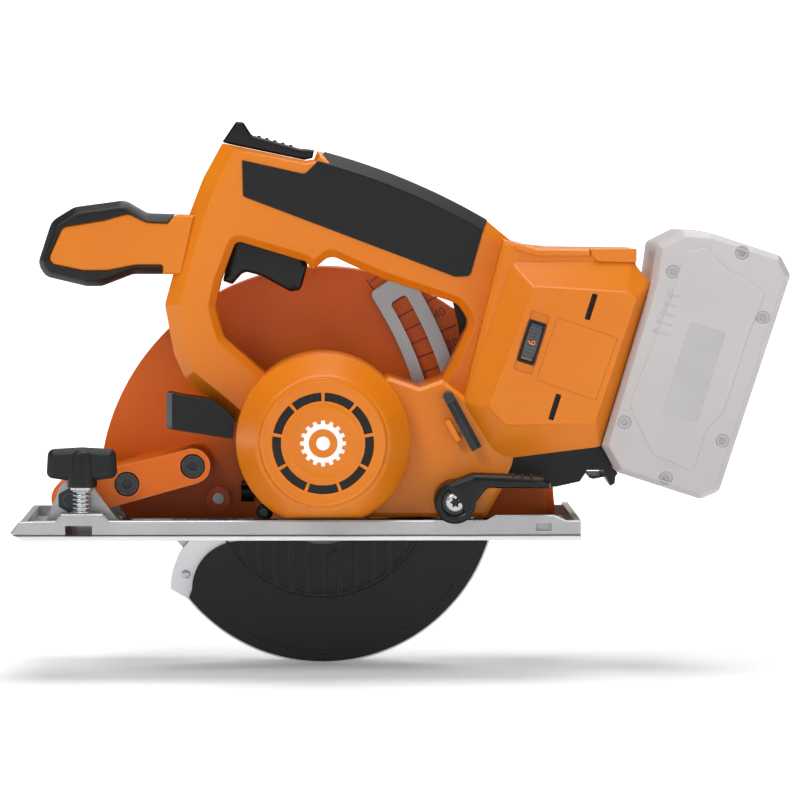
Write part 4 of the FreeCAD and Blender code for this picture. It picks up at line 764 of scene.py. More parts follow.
    def pod(self, side: Side) -> None:
        """Bevelled pod on the side of the box, with its window and slits."""
        mould = Mould("pod_%s" % side.name.lower())
        low = self.even(self.pod_out, (2,) * 7)
        high = self.even(self.pod_in, (2, 1, 1, 2, 1.5, 1.5, 2))
        steps = [(0.0, -30.0), (0.0, -34.2), (0.06, -35.0), (0.93, -41.2), (0.985, -41.8), (1.0, -42.0)]
        rings = []
        for t, y in steps:
            ring = [(a[0] + (b[0] - a[0]) * t, y, a[1] + (b[1] - a[1]) * t) for a, b in zip(low, high)]
            rings.append(mould.ring(ring))
        if side is Side.RIGHT:
            for ring in rings:
                self.clear_guard(mould, ring)
        mould.bridge(rings)
        mould.lid(rings[0])
        cuts = []
        if side is Side.LEFT:
            cuts = self.sunk(mould)
        mould.lid(rings[-1], cuts)
        mould.mirrored(side).build("saw", NYLON, slot="orange_plastic")

    @staticmethod
    def even(line: tuple, radii: tuple) -> Loop:
        """Outline whose corners all have the same number of points."""
        out: Loop = []
        count = len(line)
        for i, (x, z) in enumerate(line):
            here = Vector((x, z))
            back = (Vector(line[i - 1]) - here).normalized()
            ahead = (Vector(line[(i + 1) % count]) - here).normalized()
            for a, b in ((1.0, 0.0), (0.45, 0.12), (0.12, 0.45), (0.0, 1.0)):
                spot = here + back * radii[i] * a + ahead * radii[i] * b
                out.append((spot.x, spot.y))
            on = Vector(line[(i + 1) % count])
            for k in range(1, 8):
                spot = here.lerp(on, k / 8)
                out.append((spot.x, spot.y))
        return out

    def sunk(self, mould: Mould) -> list[list[int]]:
        """Slits and window ramp of the left pod."""
        face = -self.pod_half
        lean = 90 - TILT
        cuts = []
        for x, z in self.vents:
            slit = oblong(x, z, 12.6, 2.6, lean, 0.6)
            rings = mould.stack(slit, [(0, -36.0), (0, face + 0.3), (-0.3, face)])
            mould.lid(rings[0])
            cuts.append(rings[-1])
        well = oblong(97.0, 91.5, 29.0, 9.4, lean, 1.2)
        rings = mould.stack(well, [(0, -40.9), (0, face + 0.2), (-0.2, face)])
        mould.lid(rings[0])
        cuts.append(rings[-1])
        return cuts

    def slit_painted_shade(self) -> None:
        """Black liners deep in the slits, which are closed a few millimetres in: painted shade."""
        mould = Mould("slit_painted_shade")
        for x, z in self.vents:
            mould.relief(oblong(x, z, 12.9, 2.9, 90 - TILT, 0.6), [(0, -35.5), (0, -38.6), (0.2, -38.8)])
        mould.build("saw", POLYAMIDE)

    def panel_line(self) -> None:
        """Fine groove round the panel between the slits, drawn as a dark thread of painted shade in the groove."""
        mould = Mould("panel_groove")
        corners = [(108.9, 103.3, 0.8), (137.1, 93.5, 0.8), (126.8, 64.3, 0.8), (99.1, 74.1, 0.8)]
        line = rounded(corners)
        wide = inset(line, 0.22)
        rings = [mould.level(line, -41.6), mould.level(line, -42.05), mould.level(wide, -42.05),
                 mould.level(wide, -41.6)]
        mould.bridge(rings + rings[:1])
        mould.build("saw", GROOVE_SHADE)

    def ledge(self) -> None:
        """Raised step on top of the box, where the battery's lip rests."""
        mould = Mould("box_ledge")
        line = [(124.2, 134.9), (126.0, 130.6), (128.2, 128.9), (145.4, 128.5), (146.1, 129.4), (146.1, 134.9)]
        mould.relief(Outline(line), [(0, -30.0), (0, -35.6), (0.2, -36.0), (0.7, -36.2)])
        mould.build("saw", NYLON)
        rim = Mould("box_top_rim")
        line = [(90.5, 136.6), (100.2, 134.2), (124.0, 133.8), (124.6, 131.6), (100.0, 131.6), (90.0, 134.6)]
        rim.relief(Outline(line), [(0, -30.0), (0, -34.9), (0.2, -35.2), (0.6, -35.3)])
        rim.build("saw", NYLON)

    def seal(self) -> None:
        """Black sheet in the loop's rear corner, before the scale plate: painted shade where the inside of the box
        lies in shadow.
        """
        mould = Mould("loop_dust_seal")
        mould.relief(Outline([(61.0, 112.5), (72.0, 104.0), (73.0, 92.0), (66.0, 88.0), (64.4, 99.0, 2)]),
                     [(0, 20.9), (0, 18.2), (0.4, 17.6)])
        mould.build("saw", POLYAMIDE)

    def key_clip(self) -> None:
        """Spring tab that holds the hex key."""
        mould = Mould("key_clip")
        mould.relief(oblong(60.4, 50.3, 11.4, 2.8, -61.6, 0.8), [(0, -34.0), (0, -40.0), (0.3, -40.5), (0.8, -40.6)])
        mould.relief(oblong(63.0, 51.6, 4.6, 5.6, -61.6, 0.8), [(0, -34.0), (0, -36.4), (0.3, -36.6)])
        mould.build("saw", NYLON)

    def ball_screw(self) -> None:
        """Black ball-headed socket screw at the foot of the sleeve."""
        x, z = -27.4, 11.6
        mould = Mould("ball_head_screw")
        arc = [(4.0 * math.cos(math.radians(a)), -27.0 - 4.0 * math.sin(math.radians(a))) for a in range(-40, 65, 12)]
        mould.lathe(x, z, [(2.6, -20.0), (2.6, -24.0)] + arc + [(1.5, -30.9), (1.4, -29.6)], 40)
        mould.build("saw", BLACK_OXIDE)

    def build(self) -> None:
        """Builds both halves."""
        self.ledge()
        self.seal()
        self.key_clip()
        self.ball_screw()
        for side in Side:
            self.handle(side)
            self.skirt(side)
            self.box(side)
            self.pod(side)
        self.sleeve()
        self.slit_painted_shade()
        self.panel_line()


@dataclass
class Grips:
    """Soft overmould on both sides of the handle."""

    line: tuple = ((-38.6, 177.1, 1), (-8.6, 170.4, 2), *TOP_ARC, (69.7, 121.0, 3), (62.0, 120.6, 3),
                   (-38.2, 158.6, 2))
    proud: float = 0.7

    def build(self) -> None:
        """One pad for each side, meeting on top of the handle."""
        for side in Side:
            mould = Mould("grip_%s" % side.name.lower())
            arc = len(TOP_ARC)
            share = [0.15, 0.15] + [1.0] * (arc - 1) + [0.15] * 4
            line = [self.line[0], self.line[1]] + [(x + 0.2, z + 0.5) for x, z in TOP_ARC] + list(self.line[-3:])
            outer = [(0, -0.1), (0, -9.4), (0.2, -10.2), (0.6, -10.9), (4.9, -16.9), (5.4, -17.5),
                     (6.2, -17.0 - self.proud)]
            mould.relief(Outline(line, share), outer)
            mould.mirrored(side).build("saw", ELASTOMER, nodes=["main_grip_" + side.name.lower()],
                                       slot="soft_grip")


@dataclass
class MotorCap:
    """Cone-shaped cap of the motor with a ring of nine air slots and a printed toothed ring."""

    slots: int = 9
    slot_in: float = 19.4
    slot_out: float = 23.4

    def build(self) -> None:
        """Cap, black screen behind its slots and the printed ring."""
        mould = Mould("motor_cap_moulding")
        profile = [(38.0, -36.0), (40.1, -38.3), (40.5, -38.7), (40.5, -45.6), (40.1, -46.6), (31.6, -61.0),
                   (30.6, -61.9), (29.9, -62.1), (29.6, -62.6), (28.9, -65.3), (28.5, -65.8), (27.9, -65.9)]
        rings = mould.lathe(0, MOTOR_Z, profile, 96, floor=10.0, lids=False)
        mould.lid(rings[0])
        brim = mould.level(circle(0, MOTOR_Z, 27.0, 96), -65.5)
        mould.bridge([rings[-1], brim])
        holes = []
        for k in range(self.slots):
            a0, a1 = 92 + 40 * k, 128 + 40 * k
            line = (arc_points(0, MOTOR_Z, self.slot_out, a0, a1, 3)
                    + arc_points(0, MOTOR_Z, self.slot_in, a1, a0, 3))
            steps = mould.stack(line, [(0, -62.0), (0, -65.2), (-0.3, -65.5)])
            mould.lid(steps[0])
            holes.append(steps[-1])
        disc = mould.level(circle(0, MOTOR_Z, 18.0, 96), -65.5)
        mould.lid(brim, holes + [disc])
        last = disc
        for radius, y in ((17.5, -65.7), (16.9, -65.95), (15.9, -66.0), (15.2, -65.85), (14.6, -65.6)):
            ring = mould.level(circle(0, MOTOR_Z, radius, 96), y)
            mould.bridge([last, ring])
            last = ring
        mould.lid(last)
        mould.build("saw", NYLON, nodes=["motor_cap"], slot="orange_plastic")
        self.screen()
        self.emblem()

    def screen(self) -> None:
        """Black lining at the bottom of the slots."""
        mould = Mould("slot_screen")
        for k in range(self.slots):
            a0, a1 = 92 + 40 * k, 128 + 40 * k
            line = (arc_points(0, MOTOR_Z, self.slot_out + 0.1, a0 - 0.2, a1 + 0.2, 3)
                    + arc_points(0, MOTOR_Z, self.slot_in - 0.1, a1 + 0.2, a0 - 0.2, 3))
            mould.relief(line, [(0, -61.5), (0, -64.3), (0.25, -64.5)])
        mould.build("saw", POLYAMIDE, nodes=["vent_screen"], slot="black_plastic")

    def emblem(self) -> None:
        """White printed cog ring, a plain sign that belongs to nobody."""
        mould = Mould("printed_cog")
        teeth = 16
        rim = []
        for k in range(teeth):
            for a, r in ((-6.5, 9.0), (-4.5, 10.6), (4.5, 10.6), (6.5, 9.0)):
                rim.append((r * math.cos(math.radians(360 / teeth * k + a)),
                            MOTOR_Z + r * math.sin(math.radians(360 / teeth * k + a))))
        hole = circle(0, MOTOR_Z, 6.6, 48)
        mould.relief(rim, [(0, -65.55), (0, -65.74), (0.1, -65.8)], [(hole, [(0, -65.55), (0, -65.74), (0.1, -65.8)])])
        mould.relief(circle(0, MOTOR_Z, 3.2, 32), [(0, -65.55), (0, -65.74), (0.1, -65.8)])
        mould.build("saw", WHITE_INK)


@dataclass
class FrontHandle:
    """Auxiliary handle: orange core in a soft black band."""

    half: float = 15.0

    def build(self) -> None:
        """Core and band."""
        core = Mould("front_handle_core")
        line = [(-130.4, 127.4, 4), (-122.6, 145.2, 4), (-102.0, 148.6, 6), (-91.1, 151.7, 6), (-82.0, 147.4, 4),
                (-72.9, 147.0, 1), (-68.9, 150.5, 1), (-60.0, 150.2), (-66.0, 122.5), (-75.0, 122.5, 1),
                (-75.6, 126.4, 1), (-88.0, 126.4, 4), (-101.2, 123.8, 4), (-112.5, 123.8, 6)]
        core.relief(Outline(line), [(0, 0), (0, -self.half + 2.4), (0.9, -self.half + 1.0), (1.5, -self.half + 0.8)])
        core.points += [(x, -y, z) for x, y, z in core.points]
        half_count = len(core.points) // 2
        core.faces += [[i + half_count for i in reversed(f)] for f in core.faces]
        core.build("saw", NYLON, nodes=["front_handle"], slot="orange_plastic")
        outer = [(-69.9, 150.6), (-83.0, 151.0, 8), (-93.5, 157.2, 8), (-117.0, 154.0, 8), (-127.5, 147.5, 8),
                 (-134.0, 127.5, 6), (-130.5, 121.4, 6), (-111.0, 116.8, 8), (-104.0, 116.8, 8),
                 (-89.2, 122.5, 8), (-75.0, 122.5)]
        inner = [(-75.0, 127.2), (-88.0, 127.2, 4), (-101.2, 124.6, 4), (-112.5, 124.6, 5), (-129.4, 128.2, 3),
                 (-121.8, 144.4, 3), (-102.0, 147.8, 5), (-91.1, 150.9, 5), (-83.0, 146.6, 4), (-72.9, 146.2, 1)]
        share = [1.0] * (len(outer) - 1) + [0.3] + [0.2] * len(inner)
        for side in Side:
            mould = Mould("front_handle_band_%s" % side.name.lower())
            mould.relief(Outline(outer + inner, share),
                         [(0, 0), (0, -self.half + 6.0), (0.4, -self.half + 4.4), (2.3, -self.half + 1.2),
                          (3.0, -self.half + 0.4), (3.8, -self.half)])
            mould.mirrored(side).build("saw", ELASTOMER, nodes=["front_handle_grip"], slot="soft_grip")


@dataclass
class Controls:
    """Trigger, switch lock, speed dial, its frame and the depth lever."""

    dial: tuple = (97.0, -29.6, 91.5)
    clamp: tuple = (61.2, 18.0)

    def both(self, name: str, loop: Loop, profile: list, finish: Finish, body: str, nodes: list, slot: str,
             ) -> bpy.types.Object:
        """One solid that is the same on both sides of the parting plane."""
        mould = Mould(name)
        rings = mould.stack(loop, [(s, -y) for s, y in reversed(profile)] + profile)
        mould.lid(rings[0])
        mould.lid(rings[-1])
        return mould.build(body, finish, nodes=nodes, slot=slot)

    def trigger(self) -> None:
        """Finger trigger with rounded edges."""
        line = [(-41.5, 142.5, 3), (-9.5, 135.0, 2), (-7.2, 126.2, 2), (-10.4, 114.8, 3), (-15.5, 114.2, 3),
                (-28.5, 121.4, 10), (-37.0, 123.8, 4), (-42.6, 117.6, 1), (-47.2, 119.2, 1), (-45.9, 124.6)]
        self.both("trigger_moulding", Outline(line), [(0, 5.8), (0.35, 7.2), (1.1, 8.4), (2.2, 9.0), (3.2, 9.2)],
                  POLYAMIDE, "switch_trigger", ["trigger"], "black_plastic")

    def slider(self) -> None:
        """Ribbed switch lock on top of the handle."""
        line = [(-47.4, 184.5, 0.5), (-40.8, 194.2, 1), (-37.6, 194.2, 2), (-33.6, 188.0, 2), (-11.0, 181.6, 2),
                (-7.0, 181.3), (-4.0, 180.9), (-4.8, 177.0, 0.6), (-8.6, 176.15), (-42.0, 183.15)]
        self.both("switch_lock_slider", Outline(line), [(0, 6.8), (0.12, 7.6), (0.9, 8.4), (1.3, 8.5)], POLYAMIDE,
                  "switch_lock", ["lock_slider"], "black_plastic")
        ribs = Mould("slider_ribs")
        slope = Vector((22.6, 0, -6.4)).normalized()
        up = Vector((6.4, 0, 22.6)).normalized()
        for k in range(5):
            mid = Vector((-32.0, 0, 187.4)) + slope * (3.9 * k + 2)
            section = [(-1.1, -0.5), (-0.8, 0.45), (-0.3, 0.85), (0.3, 0.85), (0.8, 0.45), (1.1, -0.5)]
            ribs.swept([mid + Vector((0, y, 0)) for y in (-7.0, -6.6, 6.6, 7.0)], section, up)
        ribs.build("switch_lock", POLYAMIDE)

    def wheel(self) -> None:
        """Thumbwheel with fine ribs on a short axle."""
        mould = Mould("speed_wheel")
        axis = Vector((math.cos(math.radians(TILT)), 0, -math.sin(math.radians(TILT))))
        side = Vector((0, -1, 0))
        up = axis.cross(side)
        centre = Vector(self.dial)
        teeth = 48
        rows = [(-4.6, 2.0, 0.0), (-3.0, 2.0, 0.0), (-3.0, 13.4, 0.0), (-2.6, 14.1, 0.35), (2.6, 14.1, 0.35),
                (3.0, 13.4, 0.0), (3.0, 2.0, 0.0), (4.6, 2.0, 0.0)]
        rings = []
        for along, radius, depth in rows:
            ring = []
            for k in range(teeth * 4):
                a = 2 * math.pi * k / (teeth * 4)
                r = radius + (depth if k % 4 in (0, 1) else -depth)
                p = centre + axis * along + side * (r * math.cos(a)) + up * (r * math.sin(a))
                ring.append(tuple(p))
            rings.append(mould.ring(ring))
        mould.bridge(rings)
        mould.lid_any(rings[0])
        mould.lid_any(rings[-1])
        mould.build("dial", ACETAL, nodes=["speed_dial"], slot="black_plastic")

    def dial_frame(self) -> None:
        """Black frame round the wheel's window."""
        mould = Mould("dial_frame")
        outer = oblong(97.0, 91.5, 20.4, 8.2, 90 - TILT, 0.8)
        hole = oblong(97.0, 91.5, 17.4, 5.6, 90 - TILT, 0.5)
        mould.relief(outer, [(0, -38.6), (0, -41.6), (0.3, -41.8)], [(hole, [(0, -38.6), (0, -41.4), (0.4, -41.8)])])
        mould.build("saw", POLYAMIDE, nodes=["dial_bezel"], slot="black_plastic")

    def lever(self) -> None:
        """Depth lever with a wing-shaped arm and three ribs."""
        x, z = self.clamp
        line = [(x - 5.5, 26.2, 2), (69.3, 31.4, 4), (86.4, 30.8, 4), (102.5, 29.8, 2), (105.5, 27.5, 2),
                (105.5, 24.2, 1), (76.0, 24.4, 3), (71.0, 18.0, 2), (66.0, 12.0)]
        mould = Mould("depth_lever_moulding")
        rows = [(2.6, -44.6), (0.8, -45.2), (0, -46.4), (0, -51.6), (0.7, -53.6), (2.0, -54.7), (3.0, -55.0)]
        mould.relief(Outline(line), rows)
        hub = [(9.7, -35.5), (9.7, -50.8), (9.3, -52.2), (8.4, -53.1), (7.4, -53.3), (6.7, -52.9), (6.5, -50.9)]
        mould.lathe(x, z, hub, 72)
        mould.build("clamp_lever", POLYAMIDE, nodes=["depth_lever"], slot="black_plastic")
        ribs = Mould("depth_lever_ribs")
        for k in range(3):
            mid = Vector((88.0 + 4.2 * k, -50.0, 30.2))
            ribs.swept([mid + Vector((0, s, 0)) for s in (-4.2, -3.8, 3.8, 4.2)],
                       [(-0.7, -0.8), (-0.6, 0.4), (0, 0.75), (0.6, 0.4), (0.7, -0.8)], Vector((0, 0, 1)))
        ribs.build("clamp_lever", POLYAMIDE)
        self.screw(x, z)

    def screw(self, x: float, z: float) -> None:
        """Domed screw with a six-lobed recess, on its washer."""
        seat = Mould("lever_screw_washer")
        seat.lathe(x, z, [(6.2, -50.8), (6.2, -51.5), (5.8, -51.9), (4.4, -51.95)], 64)
        seat.build("clamp_lever", BLACK_OXIDE)
        mould = Mould("lever_screw_head")
        rows = [(4.4, -51.8), (4.6, -52.1), (4.6, -52.9), (4.3, -53.5), (3.7, -54.0), (3.1, -54.25), (2.7, -54.3)]
        rings = mould.lathe(x, z, rows, 72, lids=False)
        turns = [2 * math.pi * k / 72 for k in range(72)]
        lobes = [(2.0 + 0.42 * math.cos(6 * t), t) for t in turns]
        last = rings[-1]
        for scale, y in ((1.0, -54.2), (0.95, -53.2)):
            ring = mould.ring([(x + scale * r * math.cos(t), y, z + scale * r * math.sin(t)) for r, t in lobes])
            mould.bridge([last, ring])
            last = ring
        mould.lid(last)
        mould.build("clamp_lever", BRIGHT_STEEL, nodes=["lever_screw"], slot="plated_screw", angle=40)
        # Painted shade: a dark six-lobed disc in the screw's recess.
        recess = Mould("lever_screw_recess")
        recess.relief([(x + 0.97 * r * math.cos(t), z + 0.97 * r * math.sin(t)) for r, t in lobes],
                      [(0, -53.0), (0, -53.35), (0.1, -53.4)])
        recess.build("clamp_lever", JOINT_BLACK_AND_RECESS_SHADE)

    def build(self) -> None:
        """Builds every control."""
        self.trigger()
        self.slider()
        self.wheel()
        self.dial_frame()
        self.lever()


@dataclass
class Markings:
    """Plain numerals and lines of the scales."""

    pivot: tuple = (-118.0, 18.0)

    def numeral(self, text: str, place: Point, size: float, turn: float, finish: Finish, body: str) -> None:
        """One numeral, printed or cast on a face that looks to the near side."""
        data = bpy.data.curves.new("numeral_" + text, "FONT")
        data.body = text
        data.size = size * MM
        data.align_x = data.align_y = "CENTER"
        data.extrude = 0.12 * MM
        data.bevel_depth = 0.04 * MM
        obj = bpy.data.objects.new("numeral_" + text, data)
        obj.location = Vector(place) * MM
        obj.rotation_euler = (math.radians(90), math.radians(-turn), 0)
        data.materials.append(finish.make())
        bpy.context.scene.collection.objects.link(obj)
        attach(obj, body)

    def scale(self) -> None:
        """Cast lines and numerals of the cutting depth on the guard's scale plate, coloured darker than the guard as
        painted shade.
        """
        mould = Mould("depth_scale_lines")
        px, pz = self.pivot
        for k in range(12):
            a = 9.5 + 2.35 * k
            inner, outer = (172.5, 186.0) if k % 2 else (172.5, 198.5)
            mid, length = (inner + outer) / 2, outer - inner
            x, z = px + mid * math.cos(math.radians(a)), pz + mid * math.sin(math.radians(a))
            mould.relief(oblong(x, z, length, 0.7, a, 0.2), [(0, 26.4), (0, 25.75), (0.1, 25.7)])
        for r in (171.4, 187.6):
            line = arc_points(px, pz, r, 6, 36, 2) + arc_points(px, pz, r + 0.7, 36, 6, 2)
            mould.relief(line, [(0, 26.4), (0, 25.75), (0.1, 25.7)])
        mould.build("saw", CAST_RELIEF_SHADE)
        for k, text in enumerate(("10", "20", "30", "40", "50")):
            a = 11.9 + 4.7 * k
            x, z = px + 193.4 * math.cos(math.radians(a)), pz + 193.4 * math.sin(math.radians(a))
            self.numeral(text, (x, 25.8, z), 6.0, a, CAST_RELIEF_SHADE, "saw")

    def build(self) -> None:
        """Scale and dial digit."""
        self.scale()
        self.numeral("6", (97.0, -44.15, 91.5), 5.2, 90 - TILT, ORANGE_INK, "dial")


@dataclass
class Trim:
    """Depth arc, lip of the sole, guard rivet and lamp rim."""

    def arc(self) -> None:
        """Zinc-plated arc with rounded ends and a rounded slot."""
        px, pz = -118.0, 18.0
        mould = Mould("depth_arc_strip")

        def band(r0: float, r1: float, a0: float, a1: float, radius: float) -> list[Point]:
            lower = [(px + r1 * math.cos(math.radians(a)), pz + r1 * math.sin(math.radians(a)))
                     for a in [a0 + (a1 - a0) * k / 14 for k in range(15)]]
            upper = [(px + r0 * math.cos(math.radians(a)), pz + r0 * math.sin(math.radians(a)))
                     for a in [a1 - (a1 - a0) * k / 14 for k in range(15)]]
            lower[0], lower[-1] = (*lower[0], radius), (*lower[-1], radius)
            upper[0], upper[-1] = (*upper[0], radius), (*upper[-1], radius)
            return lower + upper

        slot = band(174.6, 183.8, -2.4, 31.0, 2.2)
        rows = [(0.3, 24.5), (0, 24.2), (0, 21.8), (0.3, 21.5)]
        cut = [(0.3, 24.5), (0, 24.2), (0, 21.8), (0.3, 21.5)]
        outline = Outline(band(169.0, 190.4, -4.9, 34.0, 3.2))
        mould.relief(outline, rows, [(Outline(slot), [(-s, y) for s, y in cut])])
        mould.relief([(48.0, 3.1), (76.0, 3.1), (76.0, 5.4), (48.0, 5.4)], [(0, 24.4), (0, 7.4), (0.3, 7.1)])
        mould.build("base", ZINC, nodes=["depth_arc"], slot="grey_steel")

    def sole(self) -> None:
        """Machined lip along the sole's edge, over a fine dark joint line."""
        lip = Mould("sole_lip")
        line = [(-139.5, 0.02), (119.4, 0.02), (119.4, 2.0), (-142.8, 2.0)]
        lip.relief(Outline(line), [(0, -49.0), (0, -50.15), (0.12, -50.35), (0.4, -50.45)])
        lip.build("base", SHEET_ALU)
        seam = Mould("sole_joint_line")
        line = [(-143.4, 2.15), (119.4, 2.15), (119.4, 2.65), (-143.8, 2.65)]
        seam.relief(line, [(0, -49.8), (0, -50.05)])
        seam.build("base", JOINT_BLACK_AND_RECESS_SHADE)
        face = Mould("sole_flange_face")
        line = [(-144.6, 2.9), (-119.7, 2.9), (-119.7, 7.0), (-106.8, 7.0), (-106.8, 2.9), (50.6, 2.9), (50.6, 7.2),
                (52.9, 9.15), (-99.0, 9.15), (-102.3, 12.3), (-121.2, 12.3), (-124.0, 9.15), (-141.0, 8.65)]
        face.relief(Outline(line), [(0, -49.2), (0, -50.05), (0.4, -50.4), (0.55, -50.42)])
        rear = [(71.8, 2.9), (119.4, 2.9), (119.4, 9.05), (112.7, 9.05), (107.2, 11.55), (80.0, 11.55),
                (76.0, 9.15), (69.5, 9.15), (71.8, 7.2)]
        face.relief(Outline(rear), [(0, -49.2), (0, -50.05), (0.4, -50.4), (0.55, -50.42)],
                    [(Outline([(98.8, 4.6, 0.5), (105.8, 4.6, 0.5), (105.8, 7.8, 0.5), (98.8, 7.8, 0.5)]),
                      [(0, -49.2), (0, -50.0), (0.2, -50.42)])])
        face.build("base", CAST_ALU)

    def guard_rivet(self) -> None:
        """Rivet in the bright leading end of the lower guard, and a ridge round its cheek."""
        mould = Mould("guard_rivet")
        mould.lathe(-66.0, -23.0, [(2.0, 34.0), (2.0, 33.0), (1.6, 32.6), (0.9, 32.45), (0.3, 32.4)], 32)
        mould.build("swing_guard", BRIGHT_STEEL)
        ridge = Mould("guard_cheek_ridge")
        line = arc_points(0, SPINDLE_Z, 78.6, 222, 377, 3) + arc_points(0, SPINDLE_Z, 77.9, 377, 222, 3)
        ridge.relief(line, [(0, 31.3), (0, 30.75), (0.15, 30.6)])
        line = arc_points(0, SPINDLE_Z, 53.0, 205, 377, 3) + arc_points(0, SPINDLE_Z, 52.0, 377, 205, 3)
        ridge.relief(line, [(0, 31.3), (0, 30.4), (0.2, 30.2)])
        ridge.build("swing_guard", GUARD_BLACK)

    def lamp_rim(self) -> None:
        """Grey rim at the front of the work light."""
        mould = Mould("lamp_rim")
        line = [(-73.2, 51.4), (-73.2, 67.6, 0.8), (-70.4, 67.1), (-70.4, 50.9)]
        mould.relief(Outline(line), [(0, -26.6), (0, -28.1), (0.2, -28.35), (0.5, -28.4)])
        mould.build("saw", SOCKET_GREY)

    def build(self) -> None:
        """Builds all trim."""
        self.arc()
        self.sole()
        self.guard_rivet()
        self.lamp_rim()


@dataclass
class Knob:
    """Wing knob of the fence clamp."""

    x: float = -111.8
    y: float = -45.5
    low: float = 24.6
    high: float = 43.1

    def build(self) -> None:
        """Wing with bevelled faces and a round hub."""
        mould = Mould("wing_knob")
        x, lo, hi = self.x, self.low, self.high
        line = [(x - 16.4, lo + 4.6, 3), (x - 15.6, hi - 0.9, 3), (x, hi), (x + 15.6, hi - 0.9, 3),
                (x + 16.4, lo + 4.6, 3), (x + 7.5, lo + 3.4, 2), (x - 7.5, lo + 3.4, 2)]
        rows = [(2.6, 4.3), (0.6, 3.0), (0, 2.0), (0, -2.0), (0.6, -3.0), (2.6, -4.3)]
        mould.relief(Outline(line), [(s, self.y + d) for s, d in rows])
        rings = []
        for radius, z in ((5.0, lo), (6.6, lo), (7.0, lo + 0.6), (7.0, lo + 3.2), (6.6, lo + 8), (6.3, hi - 4.5),
                          (5.6, hi - 2.4), (4.0, hi - 1.2)):
            rings.append(mould.ring([(x + radius * math.cos(2 * math.pi * k / 48),
                                      self.y + radius * math.sin(2 * math.pi * k / 48), z) for k in range(48)]))
        mould.bridge(rings)
        mould.lid_any(rings[0])
        mould.lid_any(rings[-1])
        mould.build("clamp", GUARD_BLACK, nodes=["clamp_knob"], slot="black_plastic")


@dataclass
class Battery:
    """Slide-in battery pack: bevelled case with raised panels, screws and a release button."""

    half: float = 41.5
    line: tuple = ((152.8, 119.0), (155.2, 137.0, 3), (168.0, 143.4, 5), (180.5, 142.4, 4), (213.3, 131.6, 3),
                   (217.9, 122.5, 3), (184.9, 21.6, 4), (176.0, 18.0, 3), (137.2, 30.6, 3), (130.0, 43.2))
    screws: tuple = ((162.7, 124.3), (194.7, 133.0), (204.6, 103.0), (140.2, 54.2), (186.0, 45.6), (159.6, 28.2))

    def build(self) -> None:
        """Both sides of the case with their details."""
        for side in Side:
            mould = Mould("battery_shell_%s" % side.name.lower())
            rows = [(0, -0.1), (0, -self.half + 6.0), (0.2, -self.half + 5.4), (2.4, -self.half + 0.5),
                    (2.9, -self.half + 0.1), (3.4, -self.half)]
            wells = []
            for x, z in self.screws:
                wells.append((circle(x, z, 3.1, 32), [(0, -self.half + 1.6), (0, -self.half + 0.35), (0.35, -self.half)]))
            mould.relief(Outline(self.line), rows, wells)
            mould.mirrored(side).build("battery", PALE_PC, nodes=["battery_case", "battery_base"],
                                       slot="pale_grey_plastic")
            panel = Mould("battery_panel_%s" % side.name.lower())
            inner = [(161.5, 112.0, 2), (168.5, 134.0, 3), (178.0, 135.5, 3), (188.5, 125.0, 3), (196.5, 121.5, 3),
                     (205.5, 114.0, 3), (198.5, 96.5, 3), (186.5, 59.5, 3), (178.5, 51.0, 3), (172.5, 31.0, 3),
                     (165.0, 34.5, 3), (154.0, 39.0, 3), (149.5, 47.0, 3), (142.5, 62.5, 3)]
            panel.relief(Outline(inner), [(0, -self.half + 1.0), (0, -self.half - 0.15), (0.35, -self.half - 0.5)])
            panel.mirrored(side).build("battery", PALE_PC)
            label = Mould("battery_plate_%s" % side.name.lower())
            label.relief(oblong(172.5, 77.5, 44.0, 17.0, 90 - TILT, 1.5),
                         [(0, -self.half), (0, -self.half - 0.55), (0.15, -self.half - 0.7)])
            label.mirrored(side).build("battery", TINTED_PC)
            ribs = Mould("battery_ribs_%s" % side.name.lower())
            for k in range(5):
                ribs.relief(oblong(157.5 + 1.35 * k, 96.0 + 4.3 * k, 9.0 - 0.8 * k, 1.5, -TILT, 0.7),
                            [(0, -self.half), (0, -self.half - 0.35), (0.3, -self.half - 0.55)])
            ribs.mirrored(side).build("battery", TINTED_PC)
            heads = Mould("battery_screw_heads_%s" % side.name.lower())
            for x, z in self.screws:
                heads.lathe(x, z, [(3.2, -self.half + 1.9), (3.2, -self.half + 0.95), (2.9, -self.half + 0.7),
                                   (1.6, -self.half + 0.7), (1.45, -self.half + 1.5)], 32)
            heads.mirrored(side).build("battery", TINTED_PC, nodes=["battery_screws"], slot="grey_steel")


